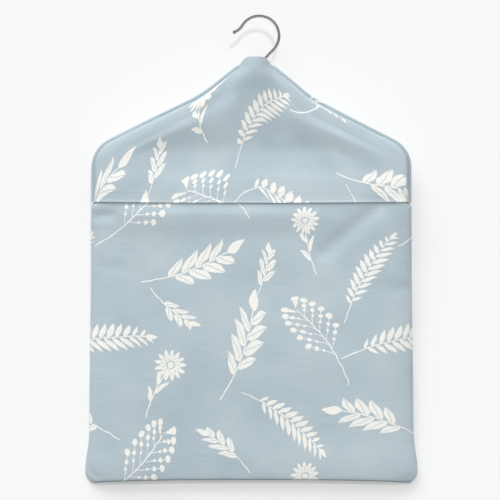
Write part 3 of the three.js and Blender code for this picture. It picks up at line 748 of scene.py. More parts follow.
# Printed plain-weave cotton: matt, with faint slubs across it and a soft bloom at grazing angles
def printedCotton(name, group, ground, ink):
    f = cottonFinish
    material, tree, shader = startMaterial(name)
    cut = addNode(tree, "ShaderNodeUVMap", uv_map="cut")
    place = addNode(tree, "ShaderNodeVectorMath", {0: cut, 1: (1 / mm, 1 / mm, 0)}, operation="MULTIPLY")

    slubScale = (1 / f["slubLength"], 1 / f["slubHeight"], 1)
    stretched = addNode(tree, "ShaderNodeVectorMath", {0: place, 1: slubScale}, operation="MULTIPLY")
    slub = addNode(tree, "ShaderNodeTexNoise", {"Vector": stretched, "Scale": 1, "Detail": 2})
    patch = addNode(tree, "ShaderNodeTexNoise", {"Vector": place, "Scale": 1 / f["patchSize"], "Detail": 2})
    mixed = addNode(tree, "ShaderNodeMath", {0: slub, 1: f["slubStrength"], 2: patch},
                    operation="MULTIPLY_ADD")
    low, high = f["cloud"]
    share = addNode(tree, "ShaderNodeMapRange", {"Value": mixed, "From Min": low, "From Max": high})
    pale, deep = [linearColour(hexText) for hexText in ground]
    yarns = addNode(tree, "ShaderNodeMix", {0: share, 6: deep, 7: pale}, data_type="RGBA")
    dry = addNode(tree, "ShaderNodeTexNoise", {"Vector": place, "Scale": f["dryScale"], "Detail": 3})
    low, high = f["dry"]
    dryShare = addNode(tree, "ShaderNodeMapRange", {"Value": dry, "From Min": low, "From Max": high})
    full, worn = [linearColour(hexText) for hexText in ink]
    inks = addNode(tree, "ShaderNodeMix", {0: dryShare, 6: full, 7: worn}, data_type="RGBA")
    design = addNode(tree, "ShaderNodeGroup", {"Place": place}, node_tree=group)
    colour = addNode(tree, "ShaderNodeMix", {0: design, 6: yarns.outputs[2], 7: inks.outputs[2]},
                     data_type="RGBA")

    perThread = 2 * math.pi / f["thread"]
    angles = addNode(tree, "ShaderNodeVectorMath", {0: place, "Scale": perThread}, operation="SCALE")
    waves = addNode(tree, "ShaderNodeVectorMath", {0: angles}, operation="SINE")
    threads = addNode(tree, "ShaderNodeSeparateXYZ", {0: waves})
    weave = addNode(tree, "ShaderNodeMath", {0: threads.outputs[0], 1: threads.outputs[1]},
                    operation="MULTIPLY")
    fine = addNode(tree, "ShaderNodeMath", {0: weave, 1: f["weaveHeight"]}, operation="MULTIPLY")
    relief = addNode(tree, "ShaderNodeMath", {0: slub, 1: f["slubRelief"], 2: fine},
                     operation="MULTIPLY_ADD")
    bump = addNode(tree, "ShaderNodeBump", {"Height": relief, "Distance": mm, "Strength": 1})
    feedNode(tree, shader, {
        "Base Color": colour.outputs[2], "Normal": bump, "Roughness": f["roughness"],
        "Specular IOR Level": f["specular"], "Sheen Weight": f["sheen"], "Sheen Roughness": f["sheenSpread"],
    })
    return material


woodFinish = {
    "light": "#D6B283", "dark": "#BE935F", "fleck": "#A97F50",
    "grain": 1.3, "grainLength": 45, "waver": 0.4,
    "fleckWidth": 0.5, "fleckLength": 3.5, "fleckCover": (0.66, 0.74),
    "pore": 0.05, "roughness": 0.42, "coat": 0.35,
}


# Shaped and sanded beech under a thin clear lacquer: fine grain along the arms with short dark flecks
def lacqueredBeech():
    f = woodFinish
    material, tree, shader = startMaterial("lacqueredBeech")
    place = addNode(tree, "ShaderNodeTexCoord").outputs["Object"]
    grainScale = [1 / mm / f["grainLength"], 1 / mm / f["grain"], 1 / mm / f["grain"]]
    drawn = addNode(tree, "ShaderNodeVectorMath", {0: place, 1: grainScale}, operation="MULTIPLY")
    grain = addNode(tree, "ShaderNodeTexNoise", {
        "Vector": drawn, "Scale": 1, "Detail": 4, "Distortion": f["waver"],
    })
    light, dark = linearColour(f["light"]), linearColour(f["dark"])
    wood = addNode(tree, "ShaderNodeMix", {0: grain, 6: light, 7: dark}, data_type="RGBA")
    fleckScale = [1 / mm / f["fleckLength"], 1 / mm / f["fleckWidth"], 1 / mm / f["fleckWidth"]]
    fine = addNode(tree, "ShaderNodeVectorMath", {0: place, 1: fleckScale}, operation="MULTIPLY")
    fleck = addNode(tree, "ShaderNodeTexNoise", {"Vector": fine, "Scale": 1, "Detail": 1})
    low, high = f["fleckCover"]
    fleckShare = addNode(tree, "ShaderNodeMapRange", {"Value": fleck, "From Min": low, "From Max": high})
    colour = addNode(tree, "ShaderNodeMix", {0: fleckShare, 6: wood.outputs[2], 7: linearColour(f["fleck"])},
                     data_type="RGBA")
    bump = addNode(tree, "ShaderNodeBump", {"Height": grain, "Distance": f["pore"] * mm, "Strength": 1})
    feedNode(tree, shader, {
        "Base Color": colour.outputs[2], "Normal": bump,
        "Roughness": f["roughness"], "Coat Weight": f["coat"],
    })
    return material


wireFinish = {
    # light, dark and edge are painted darker and streaked, as painted reflection of a darker room, over the
    # plate's own grey
    "light": "#A5A3A0", "dark": "#5E5C5A", "edge": "#4A4846", "streakLength": 14, "streakWidth": 0.8,
    "streakDepth": 0.02, "smooth": 0.16, "dull": 0.3,
}


# Drawn steel wire with a nickel plate, a little duller where it was handled: its dark base colour, light and
# dark streaks and dark edge tint are partly the plate and its fine draw marks, partly painted reflection of a
# darker room
def platedWire(name, along="cut"):
    f = wireFinish
    material, tree, shader = startMaterial(name)
    if along == "cut":
        place = addNode(tree, "ShaderNodeUVMap", uv_map="cut").outputs[0]
    else:
        place = addNode(tree, "ShaderNodeTexCoord").outputs["Object"]
    scale = (1 / mm / f["streakLength"], 1 / mm / f["streakWidth"], 1 / mm / f["streakWidth"])
    drawn = addNode(tree, "ShaderNodeVectorMath", {0: place, 1: scale}, operation="MULTIPLY")
    streak = addNode(tree, "ShaderNodeTexNoise", {"Vector": drawn, "Scale": 1, "Detail": 3})
    light, dark = linearColour(f["light"]), linearColour(f["dark"])
    colour = addNode(tree, "ShaderNodeMix", {0: streak, 6: dark, 7: light}, data_type="RGBA")
    rough = addNode(tree, "ShaderNodeMapRange", {"Value": streak, "To Min": f["smooth"], "To Max": f["dull"]})
    deep = f["streakDepth"] * mm
    bump = addNode(tree, "ShaderNodeBump", {"Height": streak, "Distance": deep, "Strength": 1})
    feedNode(tree, shader, {
        "Base Color": colour.outputs[2], "Normal": bump, "Roughness": rough, "Metallic": 1,
        "Specular Tint": linearColour(f["edge"]),
    })
    return material


yarnFinish = {
    "undyed": ("#F2EFE7", "#DDD8CB"), "sewing": ("#BFCBD3", "#AAB9C3"), "fibre": 0.6, "fibreHeight": 0.1,
    "roughness": 0.9, "sheen": 0.15,
}


# Spun cotton: matt, with uneven fibres that make it lighter and darker along its length
def cottonYarn(name, colours):
    f = yarnFinish
    light, dark = [linearColour(hexText) for hexText in colours]
    material, tree, shader = startMaterial(name)
    place = addNode(tree, "ShaderNodeTexCoord").outputs["Object"]
    fibre = addNode(tree, "ShaderNodeTexNoise", {"Vector": place, "Scale": 1 / mm / f["fibre"], "Detail": 3})
    colour = addNode(tree, "ShaderNodeMix", {0: fibre, 6: dark, 7: light}, data_type="RGBA")
    deep = f["fibreHeight"] * mm
    bump = addNode(tree, "ShaderNodeBump", {"Height": fibre, "Distance": deep, "Strength": 1})
    feedNode(tree, shader, {
        "Base Color": colour.outputs[2], "Normal": bump,
        "Roughness": f["roughness"], "Sheen Weight": f["sheen"],
    })
    return material


print("materials")
inkGroup = printGroup()
finish = cottonFinish
cottonFace = printedCotton("printedCotton", inkGroup, finish["ground"], finish["ink"])
cottonReverse = printedCotton("cottonReverse", inkGroup, finish["reverseGround"], finish["reverseInk"])
# The same cotton cut on the slant and drawn tight over a cord; its ground is painted a shade deeper, as
# painted shade on the piping's rounded side
cottonBiasPaintedShade = printedCotton("printedBiasPaintedShade", inkGroup, finish["biasPaintedShadeGround"], finish["ink"])
beech = lacqueredBeech()
wire = platedWire("platedWire")
washerSteel = platedWire("platedWasher", "object")
cordYarn = cottonYarn("undyedCord", yarnFinish["undyed"])
sewingThread = cottonYarn("sewingThread", yarnFinish["sewing"])


# The panels of cloth. Each layer says its depth, its side of the seam's plane, and how far in from its edge

def yokeEdge(across, fall):
    return np.minimum(fall - topFall(across), sideGap(across, fall))


def pocketEdge(across, fall):
    return np.minimum(sideGap(across, fall), footGap(across, fall))


def backEdge(across, fall):
    return np.minimum(yokeEdge(across, fall), footGap(across, fall))


def noTuck(fall):
    return 0 * fall


sides = {"left": -1, "right": 1}
yokeLayer = {"depth": yokeDepth, "side": -1, "seed": 2, "tuck": noTuck, "fromEdge": yokeEdge}
pocketLayer = {"depth": pocketDepth, "side": -1, "seed": 2, "tuck": pocketTuck, "fromEdge": pocketEdge}
backLayer = {"depth": backDepth, "side": 1, "seed": 7, "tuck": noTuck, "fromEdge": backEdge}
printShift = {  # where each panel's cut lies on the print, mm
    "yoke": (150, 70), "pocket": (38, 118), "back": (96, 40),
    "piping_left": (144, 198), "piping_right": (90, 132),
}
cornerOut = float(seamOut(hingeDrop))  # the seam is this far out at the height where the flap bends


def rollFalls(start, end):
    reach = min(drape["armRoll"], (end - start) / 2)
    return crowded(start, start + reach, grid["rollCount"])


def yokeFalls(across):
    top = float(topFall(across))
    bend = max(hingeDrop, top)
    rolled = rollFalls(top, bend)
    upper = list(np.linspace(rolled[-1], bend, round(hingeDrop / grid["rowStep"])))[1:]
    low = mouthDrop - cloth["thickness"] / 2 - grid["foldRadius"]
    lowRolled = crowded(bend, bend + drape["armRoll"], grid["rollCount"])[1:]
    lowRows = round((low - hingeDrop) / grid["flapStep"])
    lower = list(np.linspace(lowRolled[-1], low, lowRows))[1:-1]
    return rolled + upper + lowRolled + lower


def footFalls(across, start):
    roll = drape["footRoll"]
    lowest = float(bottomFall(across / yokeHalf))
    body = spaced(0, 1, grid["rowStep"] / (lowestDrop - roll - start))
    rows = [start + share * (lowest - roll - start) for share in body]
    return rows + crowded(lowest, lowest - roll, grid["footCount"])[-2::-1]


def pocketFalls(across):
    start = pocketDrop + cloth["thickness"] / 2 + grid["foldRadius"]
    mouth = mouthDrop + cloth["mouthStep"]
    return spaced(start, mouth, grid["rowStep"])[1:-1] + footFalls(across, mouth)


def backFalls(across):
    top = float(topFall(across))
    rolled = rollFalls(top, mouthDrop)
    upper = list(np.linspace(rolled[-1], mouthDrop, round(mouthDrop / grid["rowStep"])))[1:-1]
    return rolled + upper + footFalls(across, mouthDrop)


def fallTable(columns, fallsAt):
    return np.array([fallsAt(across) for across in columns]).T


# Works out a cut's upper and lower line at each column; nothing is kept or returned
def declareSheet(columns, upper, lower):
    highs = np.array([float(upper(a)) for a in columns])
    lows = np.array([float(lower(a)) for a in columns])


def rideBag(piece, slot, *nodes):
    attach(piece, "bag")
    if nodes:
        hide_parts(*nodes)


# The yoke runs on behind the flap's top by this much, so that no gap opens along the bend as the flap swings
hingeLap = {"fall": 7.5, "inset": 1.3, "easing": 1.5}


def swingHalf(piece):
    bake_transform(piece)


def makeYoke():
    lap = hingeLap
    columns = clothColumns([cornerOut])
    falls = fallTable(columns, yokeFalls)
    sheet = layCloth(columns, falls, yokeLayer, "end", mouthDrop)
    bendRow = grid["rollCount"] + round(hingeDrop / grid["rowStep"]) - 1
    first = int(np.argmin(np.abs(columns + cornerOut)))
    last = int(np.argmin(np.abs(columns - cornerOut)))
    across = slice(first, last + 1)
    centre = len(columns) // 2
    cottons = [cottonFace, cottonReverse]
    lapRow = int(np.argmax(falls[:, centre] > hingeDrop + lap["fall"]))
    upper = sheetPart(sheet, slice(0, lapRow + 1), across)
    below = np.clip((falls[:lapRow + 1, across] - hingeDrop) / lap["easing"], 0, 1)
    upper["middle"] = upper["middle"] - upper["facing"] * (lap["inset"] * below)[..., None]
    piece = makeShell("yoke_upper", upper, printShift["yoke"], cottons)
    rideBag(piece, "cloth", "front_yoke")
    declareSheet(columns[across], topFall, lambda a: hingeDrop + lap["fall"])
    spans = {"left": slice(0, centre + 1), "right": slice(centre, len(columns))}
    for word, side in sides.items():
        part = sheetPart(sheet, slice(bendRow, None), spans[word])
        half = makeShell(f"flap_{word}", part, printShift["yoke"], cottons)
        swingHalf(half)
        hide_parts("yoke_flap", "yoke_hem")
        declareSheet(columns[spans[word]], lambda a: max(hingeDrop, float(topFall(a))),
                     lambda a: mouthDrop)


def makePocket():
    columns = clothColumns()
    sheet = layCloth(columns, fallTable(columns, pocketFalls), pocketLayer, "top", pocketDrop)
    piece = makeShell("pocket_front", sheet, printShift["pocket"], [cottonFace, cottonReverse])
    rideBag(piece, "cloth", "front_pocket", "pocket_hem")
    declareSheet(columns, lambda a: pocketDrop, lambda a: bottomFall(a / yokeHalf))


def makeBack():
    columns = clothColumns()
    sheet = layCloth(columns, fallTable(columns, backFalls), backLayer)
    piece = makeShell("back_cloth", sheet, printShift["back"], [cottonFace, cottonReverse])
    rideBag(piece, "cloth", "back_panel")
    declareSheet(columns, topFall, lambda a: bottomFall(a / yokeHalf))


print("cloth")
makeBack()
makePocket()
makeYoke()


# Piping: a bias strip sewn round a cord, with its allowance running in between the panels

piping = {
    "radius": 2.2, "centreOut": 1.7, "cover": 0.5, "tongue": 2.6, "tongueHalf": 0.16,
    "sides": 22, "step": 1.4, "wrapAngle": 162, "boreLap": 0.12,
    "ripple": 0.025, "rippleStep": 5.5, "rippleWander": 1.3, "wanderRun": 17,
    "tuckOut": 8, "tuckFall": 5.2, "tuckRun": 14, "tuckShare": 0.45, "tongueEdge": 2,
}
fillerCord = {"radius": 1.4, "lobes": 3, "lobeDepth": 0.16, "turnLength": 9, "sides": 18, "setBack": 0.6}


# Stations along the seam, the piping's centre there, the way out of the bag, and its share of full size
def pipingRoute(side, setBack=0):
    p = piping
    line = np.vstack([[p["tuckOut"], p["tuckFall"]], shoulder])
    length = runAlong(line)
    stations = np.linspace(setBack, length[-1] - setBack, round(length[-1] / p["step"]))
    at = np.stack([np.interp(stations, length, line[:, k]) for k in (0, 1)], -1)
    tangent = unit(np.gradient(at, axis=0))
    normal = np.stack([tangent[:, 1], -tangent[:, 0]], -1)  # out of the bag, in the seam's plane
    full = smooth(0, p["tuckRun"], stations)[:, None]  # its end is tucked thin into the neck
    place = at + normal * p["centreOut"] * full
    centre = np.stack([side * place[:, 0] + middleX(at[:, 1]), 0 * at[:, 0], neckTop - place[:, 1]], -1)
    outward = np.stack([side * normal[:, 0], 0 * at[:, 0], -normal[:, 1]], -1)
    return stations, centre, outward, blendShare(p["tuckShare"], 1, full)


# A tube of rings along a route; each ring is given by its distances out of the seam and across it
def sweepRings(route, outs, acrosses):
    centre, outward, full = route[1:]
    front = np.array([0, -1, 0])
    outs, acrosses = (outs * full)[..., None], (acrosses * full)[..., None]
    return centre[:, None, :] + outward[:, None, :] * outs + front * acrosses


def tubeFaces(rings, around, start=0, flip=False):
    index = start + np.arange(rings * around).reshape(rings, around)
    after = np.roll(index, -1, axis=1)
    faces = np.stack([index[:-1], after[:-1], after[1:], index[1:]], -1).reshape(-1, 4)
    return faces[:, ::-1] if flip else faces


def tubeEnds(rings, around, flip=False):
    first = list(range(around))
    last = [(rings - 1) * around + i for i in first]
    return [first, last[::-1]] if flip else [first[::-1], last]


def makePipingCover(side, word):
    p = piping
    route = pipingRoute(side)
    count = len(route[0])
    wrap = math.radians(p["wrapAngle"])
    turns = np.concatenate([np.linspace(-wrap, wrap, p["sides"]), [math.pi, -math.pi]])
    wander = p["rippleWander"] * np.sin(route[0] / p["wanderRun"])
    wave = 1 + p["ripple"] * np.sin(2 * np.pi * route[0] / p["rippleStep"] + wander)[:, None]
    outs = p["radius"] * np.cos(turns)[None, :] * wave
    acrosses = p["radius"] * np.sin(turns)[None, :] * wave
    outs[:, -2:] = -p["radius"] - p["tongue"]
    acrosses[:, -2] = p["tongueHalf"]
    acrosses[:, -1] = -p["tongueHalf"]
    outer = sweepRings(route, outs, acrosses)
    bore = p["radius"] - p["cover"]
    turns[-2:] = [wrap + p["boreLap"], -wrap - p["boreLap"]]
    inner = sweepRings(route, bore * np.cos(turns) + 0 * outs, bore * np.sin(turns) + 0 * outs)
    around = len(turns)
    total = count * around
    faces = [tubeFaces(count, around, flip=side < 0), tubeFaces(count, around, total, flip=side > 0)]
    for row, turned in ((0, side > 0), (count - 1, side < 0)):
        ring = row * around + np.arange(around)
        after = np.roll(ring, -1)
        cap = np.stack([ring, after, after + total, ring + total], -1)
        faces.append(cap[:, ::-1] if turned else cap)
    girth = 2 * wrap * p["radius"]
    edge = p["tongueEdge"]
    wrapped = np.concatenate([np.linspace(0, girth, p["sides"]), [girth + edge, -edge]])
    shift, run = printShift[f"piping_{word}"], route[0][:, None]
    bias = math.sqrt(0.5)  # the strip is cut at 45 degrees to the threads
    cut = np.stack([shift[0] + (run - wrapped) * bias, shift[1] + (run + wrapped) * bias], -1).reshape(-1, 2)
    vertices = np.concatenate([outer.reshape(-1, 3), inner.reshape(-1, 3)])
    cuts = np.concatenate([cut, cut])
    piece = makeMesh(f"piping_cover_{word}", vertices, np.concatenate(faces), [cottonBiasPaintedShade], cuts)
    rideBag(piece, "piping", f"piping_{word}")


# Three strands twisted together, seen only at the cover's ends
def makeFillerCord(side, word):
    c = fillerCord
    route = pipingRoute(side, c["setBack"])
    count = len(route[0])
    turns = np.linspace(0, 2 * np.pi, c["sides"], endpoint=False)[None, :]
    twist = 2 * np.pi * route[0][:, None] / c["turnLength"]
    radius = c["radius"] * (1 - c["lobeDepth"] * (0.5 - 0.5 * np.cos(c["lobes"] * turns - twist)))
    rings = sweepRings(route, radius * np.cos(turns), radius * np.sin(turns))
    flip = side < 0
    faces = tubeFaces(count, c["sides"], flip=flip).tolist() + tubeEnds(count, c["sides"], flip)
    piece = makeMesh(f"filler_cord_{word}", rings.reshape(-1, 3), faces, [cordYarn])
    rideBag(piece, "filler_cord", f"piping_cord_{word}")


# Seam allowances inside the bag: two raw edges together

allowance = {
    "width": 10, "inset": 1.8, "thickness": 1.3, "wave": 0.25, "waveStep": 38, "step": 3, "rows": 6,
    "foot": 24, "top": 2,
}


def makeAllowance(name, nodeName, edge, inward):
    a = allowance
    run = runAlong(edge)
    depths = np.linspace(a["inset"], a["inset"] + a["width"], a["rows"])
    middle = edge[None, :, :] + np.array(inward) * depths[:, None, None]
    loose = np.linspace(0, 1, a["rows"])[:, None]
    middle[..., 1] += a["wave"] * loose * np.sin(2 * np.pi * run / a["waveStep"])[None, :]
    sheet = {
        "middle": middle, "facing": np.broadcast_to([0, -1, 0], middle.shape),
        "run": np.repeat(run[None, :], a["rows"], axis=0),
        "fallRun": np.repeat(depths[:, None], len(run), axis=1),
    }
    piece = makeShell(name, sheet, (0, 0), [cottonReverse], a["thickness"])
    rideBag(piece, "cloth_reverse", nodeName)


def makeAllowances():
    a = allowance
    falls = np.array(spaced(mouthDrop + cloth["mouthStep"] + a["top"], lowestDrop - a["foot"], a["step"]))
    for word, side in sides.items():
        edge = np.stack([middleX(falls) + side * halfWidth(falls), 0 * falls, neckTop - falls], -1)
        makeAllowance(f"side_allowance_{word}", f"side_seam_{word}", edge, (-side, 0, 0))
    reach = bodyHalf - cloth["bluntCorner"] - a["foot"]
    across = np.array(spaced(-reach, reach, a["step"]))
    low = bottomFall(across / reach)
    edge = np.stack([across + middleX(low), 0 * low, neckTop - low], -1)
    makeAllowance("bottom_allowance", "bottom_seam", edge, (0, 0, 1))


# Stitches: short lengths of thread set along a path by Geometry Nodes

stitching = {
    "pitch": 2.7, "length": 2.3, "width": 0.42, "lift": 0.02,
    "aboveHem": 10.4, "fromSeam": 3, "fromMiddle": 0.7, "segments": 8, "rings": 6,
}


def stitchTree(material):
    tree = bpy.data.node_groups.new("stitchesAlongPath", "GeometryNodeTree")
    tree.interface.new_socket("Path", in_out="INPUT", socket_type="NodeSocketGeometry")
    for name in ("Pitch", "Length", "Width"):
        tree.interface.new_socket(name, in_out="INPUT", socket_type="NodeSocketFloat")
    tree.interface.new_socket("Stitches", in_out="OUTPUT", socket_type="NodeSocketGeometry")
    start = addNode(tree, "NodeGroupInput")
    curve = addNode(tree, "GeometryNodeMeshToCurve", {"Mesh": start.outputs["Path"]})
    pitch = start.outputs["Pitch"]
    points = addNode(tree, "GeometryNodeResampleCurve", {"Curve": curve, "Length": pitch}, mode="LENGTH")
    thread = addNode(tree, "GeometryNodeMeshUVSphere", {
        "Segments": stitching["segments"], "Rings": stitching["rings"], "Radius": 0.5,
    })
    size = addNode(tree, "ShaderNodeCombineXYZ", {
        "X": start.outputs["Length"], "Y": start.outputs["Width"], "Z": start.outputs["Width"],
    })
    drawn = addNode(tree, "GeometryNodeTransform", {"Geometry": thread, "Scale": size})
    tangent = addNode(tree, "GeometryNodeInputTangent")
    turn = addNode(tree, "FunctionNodeAlignRotationToVector", {"Vector": tangent}, axis="X")
    placed = addNode(tree, "GeometryNodeInstanceOnPoints", {
        "Points": points, "Instance": drawn, "Rotation": turn,
    })
    real = addNode(tree, "GeometryNodeRealizeInstances", {"Geometry": placed})
    rounded = addNode(tree, "GeometryNodeSetShadeSmooth", {"Geometry": real})
    dressed = addNode(tree, "GeometryNodeSetMaterial", {"Geometry": rounded, "Material": material})
    addNode(tree, "NodeGroupOutput", {"Stitches": dressed})
    return tree


def runStitches(name, tree, path):
    mesh = bpy.data.meshes.new(name)
    mesh.from_pydata((np.asarray(path) * mm).tolist(), [(i, i + 1) for i in range(len(path) - 1)], [])
    holder = addObject(name, mesh)
    modifier = holder.modifiers.new("stitches", "NODES")
    modifier.node_group = tree
    sizes = {"Pitch": stitching["pitch"], "Length": stitching["length"], "Width": stitching["width"]}
    for item in tree.interface.items_tree:
        if item.name in sizes:
            modifier[item.identifier] = sizes[item.name] * mm
    evaluated = holder.evaluated_get(bpy.context.evaluated_depsgraph_get())
    sewn = bpy.data.meshes.new_from_object(evaluated)
    holder.modifiers.remove(modifier)
    holder.data = sewn
    sewn.name = name
    return holder


# A path on the outer face of a layer, at one fall
def facePath(layer, across, fall):
    falls = np.full((1, len(across)), float(fall))
    sheet = layCloth(across, falls, layer)
    lift = cloth["thickness"] / 2 + stitching["lift"]
    return (sheet["middle"] + sheet["facing"] * lift)[0]


# One row holds the flap's hem, in two halves as the flap is, and one the pocket's, behind it
def makeStitches():
    s, step = stitching, grid["columnStep"]
    tree = stitchTree(sewingThread)
    reach = yokeHalf - s["fromSeam"]
    for word, side in sides.items():
        across = np.array(sorted(side * a for a in spaced(s["fromMiddle"], reach, step)))
        path = facePath(yokeLayer, across, mouthDrop - s["aboveHem"])
        piece = runStitches(f"flap_hem_stitches_{word}", tree, path)
        swingHalf(piece)
    path = facePath(pocketLayer, np.array(spaced(-reach, reach, step)), pocketDrop + s["aboveHem"])
    rideBag(runStitches("pocket_hem_stitches", tree, path), "cloth")


# Wire hook: an upset head under the washer, a straight shank, the bend, the arc and a balled end

hook = {
    "wire": 2.8, "arc": 20.4, "offset": 3.3, "lean": 47, "bend": 5,
    "curlStart": 149, "curl": 16, "curlTurn": 34, "ball": 3.8, "headHeight": 1.8,
    # the head's profile from its underside up: distance from the shank's middle, and height
    "headProfile": ((1.8, -1.8), (2.55, -1.65), (3, -1.08), (3, -0.25), (2.79, -0.02), (1.45, 0)),
    "sides": 24, "step": 0.6, "bendTurn": 0.14, "arcStep": 0.9, "curlTurnStep": 0.04, "ballSteps": 16,
}


# The wire's middle from the head's top to its end, in the plane of the hook
def hookCentre():
    h = hook
    lean, turn = math.radians(h["lean"]), math.radians(h["curlStart"])
    crown = np.array([h["offset"], h["wire"] / 2 - h["arc"]])

    def onCircle(angle, radius, centre):
        return np.array([math.cos(angle), math.sin(angle)]) * radius + centre

    start = lean - math.pi / 2
    touch = onCircle(start, h["arc"], crown)
    kink = np.array([0, touch[1] - touch[0] * math.tan(lean)])
    run = h["bend"] * math.tan((math.pi / 2 - lean) / 2)
    low = kink - [0, run]
    high = onCircle(lean, run, kink)
    bendCentre = low + [h["bend"], 0]
    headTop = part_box("hook")[0].z / mm + h["headHeight"]
    points = [np.array([0, z]) for z in spaced(headTop, low[1], h["step"])[:-1]]
    points += [onCircle(a, h["bend"], bendCentre) for a in spaced(math.pi, lean + math.pi / 2, h["bendTurn"])]
    slant = touch - high
    points += [high + slant * share for share in spaced(0, 1, h["step"] / np.linalg.norm(slant))[1:-1]]
    points += [onCircle(a, h["arc"], crown) for a in spaced(start, turn, h["arcStep"] / h["arc"])]
    curlCentre = onCircle(turn, h["arc"] + h["curl"], crown)
    end = turn + math.pi - math.radians(h["curlTurn"])
    turns = spaced(turn + math.pi, end, h["curlTurnStep"])[1:]
    points += [onCircle(a, h["curl"], curlCentre) for a in turns]
    return np.array([[x + shankX, 0, z] for x, z in points])


# Rings about a centre line in the hook's plane, with a radius at each point
def wireRings(centre, radii, around):
    tangent = unit(np.gradient(centre, axis=0))
    normal = np.stack([-tangent[:, 2], 0 * radii, tangent[:, 0]], -1)[:, None, :]
    turns = np.linspace(0, 2 * np.pi, around, endpoint=False)[None, :, None]
    rings = normal * np.cos(turns) + np.array([0, 1, 0]) * np.sin(turns)
    return centre[:, None, :] + rings * radii[:, None, None]


def facesOut(piece):
    solid = bmesh.new()
    solid.from_mesh(piece.data)
    bmesh.ops.recalc_face_normals(solid, faces=solid.faces)
    solid.to_mesh(piece.data)
    solid.free()


def makeHook():
    h = hook
    line = hookCentre()
    radius, ball = h["wire"] / 2, h["ball"] / 2
    ahead = unit(line[-1] - line[-2])
    start = -math.sqrt(ball ** 2 - radius ** 2)
    turns = np.linspace(math.asin(start / ball), math.pi / 2, h["ballSteps"])[1:-1]
    ballLine = [line[-1] + ahead * (ball * math.sin(a) - start) for a in turns]
    headLine = [line[0] + [0, 0, height] for _, height in h["headProfile"]]
    radii = [out for out, _ in h["headProfile"]] + [radius] * (len(line) - 1)
    radii = np.array(radii + [ball * math.cos(a) for a in turns])
    line = np.vstack([headLine, line[1:], ballLine])
    rings = wireRings(line, radii, h["sides"])
    faces = tubeFaces(len(line), h["sides"]).tolist() + tubeEnds(len(line), h["sides"], flip=True)
    around = np.linspace(0, math.pi * h["wire"], h["sides"])
    cut = np.stack(np.broadcast_arrays(runAlong(line)[:, None], around[None, :]), -1).reshape(-1, 2)
    piece = makeMesh("wire_hook", rings.reshape(-1, 3), faces, [wire], cut, sharpAngle=35)
    facesOut(piece)
    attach(piece, "hook")
    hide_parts("hook")


# The wooden hanger and the washer keep their solids and get their finishes
def finishNode(node, material):
    for slot in frame["nodes"][node].material_slots:
        slot.material = material


print("piping, seams and stitches")
for word, side in sides.items():
    makePipingCover(side, word)
    makeFillerCord(side, word)
makeAllowances()
makeStitches()
print("hook and hanger")
makeHook()
finishNode("hanger", beech)
finishNode("hook_washer", washerSteel)


# Studio, in metres: a pale wall close behind the bag that sweeps out to a floor, soft light from above left

studio = {
    "wallY": 0.027, "wallLean": 0.046, "halfWide": 4.0, "wallTop": 2.5, "floorDrop": 1.25,
    "sweep": 0.4, "sweepSteps": 16, "floorFront": -5.0,
    "wallColour": "#F6F6F6", "surround": "#F8F8F8",
    "ambientLow": 0.24, "ambientHigh": 0.56, "wallOwnLight": 0.30, "sunAway": 3,
}
# The share of each lamp in the light on an upright face that looks its way; the rest is the room's
lamps = [
    {"name": "highKey", "share": 0.30, "elevation": 59, "azimuth": -36, "angle": 40},
    {"name": "lowKey", "share": 0.30, "elevation": 25, "azimuth": 8, "angle": 7},
    {"name": "backLight", "share": 0.38, "elevation": 35, "azimuth": 160, "angle": 40},
]


def makeStage():
    s = studio
    turns = np.linspace(0, math.pi / 2, s["sweepSteps"] + 1)
    floor = -s["floorDrop"]
    foot = s["wallY"] - s["wallLean"] * (s["floorDrop"] - s["sweep"])
    line = [(s["wallY"] + s["wallLean"] * s["wallTop"], s["wallTop"])]
    line += [(foot - s["sweep"] * (1 - math.cos(t)), floor + s["sweep"] * (1 - math.sin(t))) for t in turns]
    line.append((s["floorFront"], floor))
    vertices = [(side * s["halfWide"], y, z) for y, z in line for side in (-1, 1)]
    faces = [(2 * i, 2 * i + 2, 2 * i + 3, 2 * i + 1) for i in range(len(line) - 1)]
    mesh = bpy.data.meshes.new("wallAndFloor")
    mesh.from_pydata(vertices, [], faces)
    mesh.shade_smooth()
    mesh.materials.append(stageMaterial())
    addObject("wallAndFloor", mesh)


# Matt white paint; it is seen through from behind, and it stops no light on its way to the bag's back
def stageMaterial():
    material = bpy.data.materials.new("mattWhitePaint")
    material.use_nodes = True
    tree = material.node_tree
    tree.nodes.clear()
    ray = addNode(tree, "ShaderNodeLightPath")
    matt = addNode(tree, "ShaderNodeBsdfDiffuse", {"Color": linearColour(studio["wallColour"])})
    glow = addNode(tree, "ShaderNodeEmission", {"Color": linearColour(studio["wallColour"]), "Strength": 1})
    own = addNode(tree, "ShaderNodeMath", {0: ray.outputs["Is Camera Ray"], 1: studio["wallOwnLight"]},
                  operation="MULTIPLY")
    paint = addNode(tree, "ShaderNodeMixShader", {0: own, 1: matt, 2: glow})
    clear = addNode(tree, "ShaderNodeBsdfTransparent")
    behind = addNode(tree, "ShaderNodeNewGeometry").outputs["Backfacing"]
    light = addNode(tree, "ShaderNodeMath", {
        0: ray.outputs["Is Shadow Ray"], 1: ray.outputs["Is Diffuse Ray"],
    }, operation="MAXIMUM")
    through = addNode(tree, "ShaderNodeMath", {0: light, 1: behind}, operation="MAXIMUM")
    mixed = addNode(tree, "ShaderNodeMixShader", {0: through, 1: paint, 2: clear})
    addNode(tree, "ShaderNodeOutputMaterial", {"Surface": mixed})
    return material


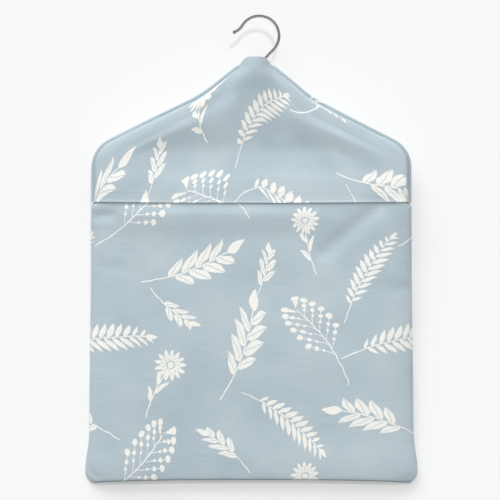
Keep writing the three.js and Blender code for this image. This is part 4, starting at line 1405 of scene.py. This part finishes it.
# A soft room, brighter above than below; the camera and the wire see its plain surround
def makeWorld():
    s = studio
    world = bpy.data.worlds.new("softRoom")
    bpy.context.scene.world = world
    world.use_nodes = True
    tree = world.node_tree
    tree.nodes.clear()
    direction = addNode(tree, "ShaderNodeTexCoord").outputs["Generated"]
    height = addNode(tree, "ShaderNodeSeparateXYZ", {0: direction}).outputs["Z"]
    strength = addNode(tree, "ShaderNodeMapRange", {
        "Value": height, "From Min": -1, "From Max": 1, "To Min": s["ambientLow"], "To Max": s["ambientHigh"],
    })
    room = addNode(tree, "ShaderNodeBackground", {"Color": (1, 1, 1, 1), "Strength": strength})
    seen = addNode(tree, "ShaderNodeBackground", {"Color": linearColour(s["surround"]), "Strength": 1})
    ray = addNode(tree, "ShaderNodeLightPath")
    glossy = addNode(tree, "ShaderNodeMath", {
        0: ray.outputs["Is Glossy Ray"], 1: ray.outputs["Is Transmission Ray"],
    }, operation="MAXIMUM")
    direct = addNode(tree, "ShaderNodeMath", {0: ray.outputs["Is Camera Ray"], 1: glossy},
                     operation="MAXIMUM")
    mixed = addNode(tree, "ShaderNodeMixShader", {0: direct, 1: room, 2: seen})
    addNode(tree, "ShaderNodeOutputWorld", {"Surface": mixed})


# Azimuth 0 stands in front of the bag, and a negative one to the left of that
def makeSun(kind):
    e, a = math.radians(kind["elevation"]), math.radians(kind["azimuth"])
    towards = Vector((math.sin(a) * math.cos(e), -math.cos(a) * math.cos(e), math.sin(e)))
    lamp = bpy.data.lights.new(kind["name"], "SUN")
    lamp.energy = kind["share"] * math.pi / abs(towards.y)
    lamp.angle = math.radians(kind["angle"])
    sun = addObject(kind["name"], lamp)
    sun.rotation_mode = "QUATERNION"
    sun.rotation_quaternion = towards.to_track_quat("Z", "Y")
    sun.location = towards * studio["sunAway"]
    sun.visible_glossy = False  # the room alone shows in the wire, as a soft box would


# The camera stands square to the front; its view is this wide and so placed, in metres, at the bag
photo = {"across": 0.515, "middleX": -0.0095, "middleZ": -0.2397, "distance": 2.2, "sensor": 36}


def makeCamera():
    p = photo
    lens = bpy.data.cameras.new("frontCamera")
    lens.sensor_width = p["sensor"]
    lens.lens = p["sensor"] * p["distance"] / p["across"]
    camera = addObject("frontCamera", lens)
    camera.location = (p["middleX"], -p["distance"], p["middleZ"])
    camera.rotation_euler = (math.pi / 2, 0, 0)
    bpy.context.scene.camera = camera


print("studio")
makeStage()
makeWorld()
for kind in lamps:
    makeSun(kind)
makeCamera()
bpy.context.scene.view_settings.view_transform = "Standard"

print("done")
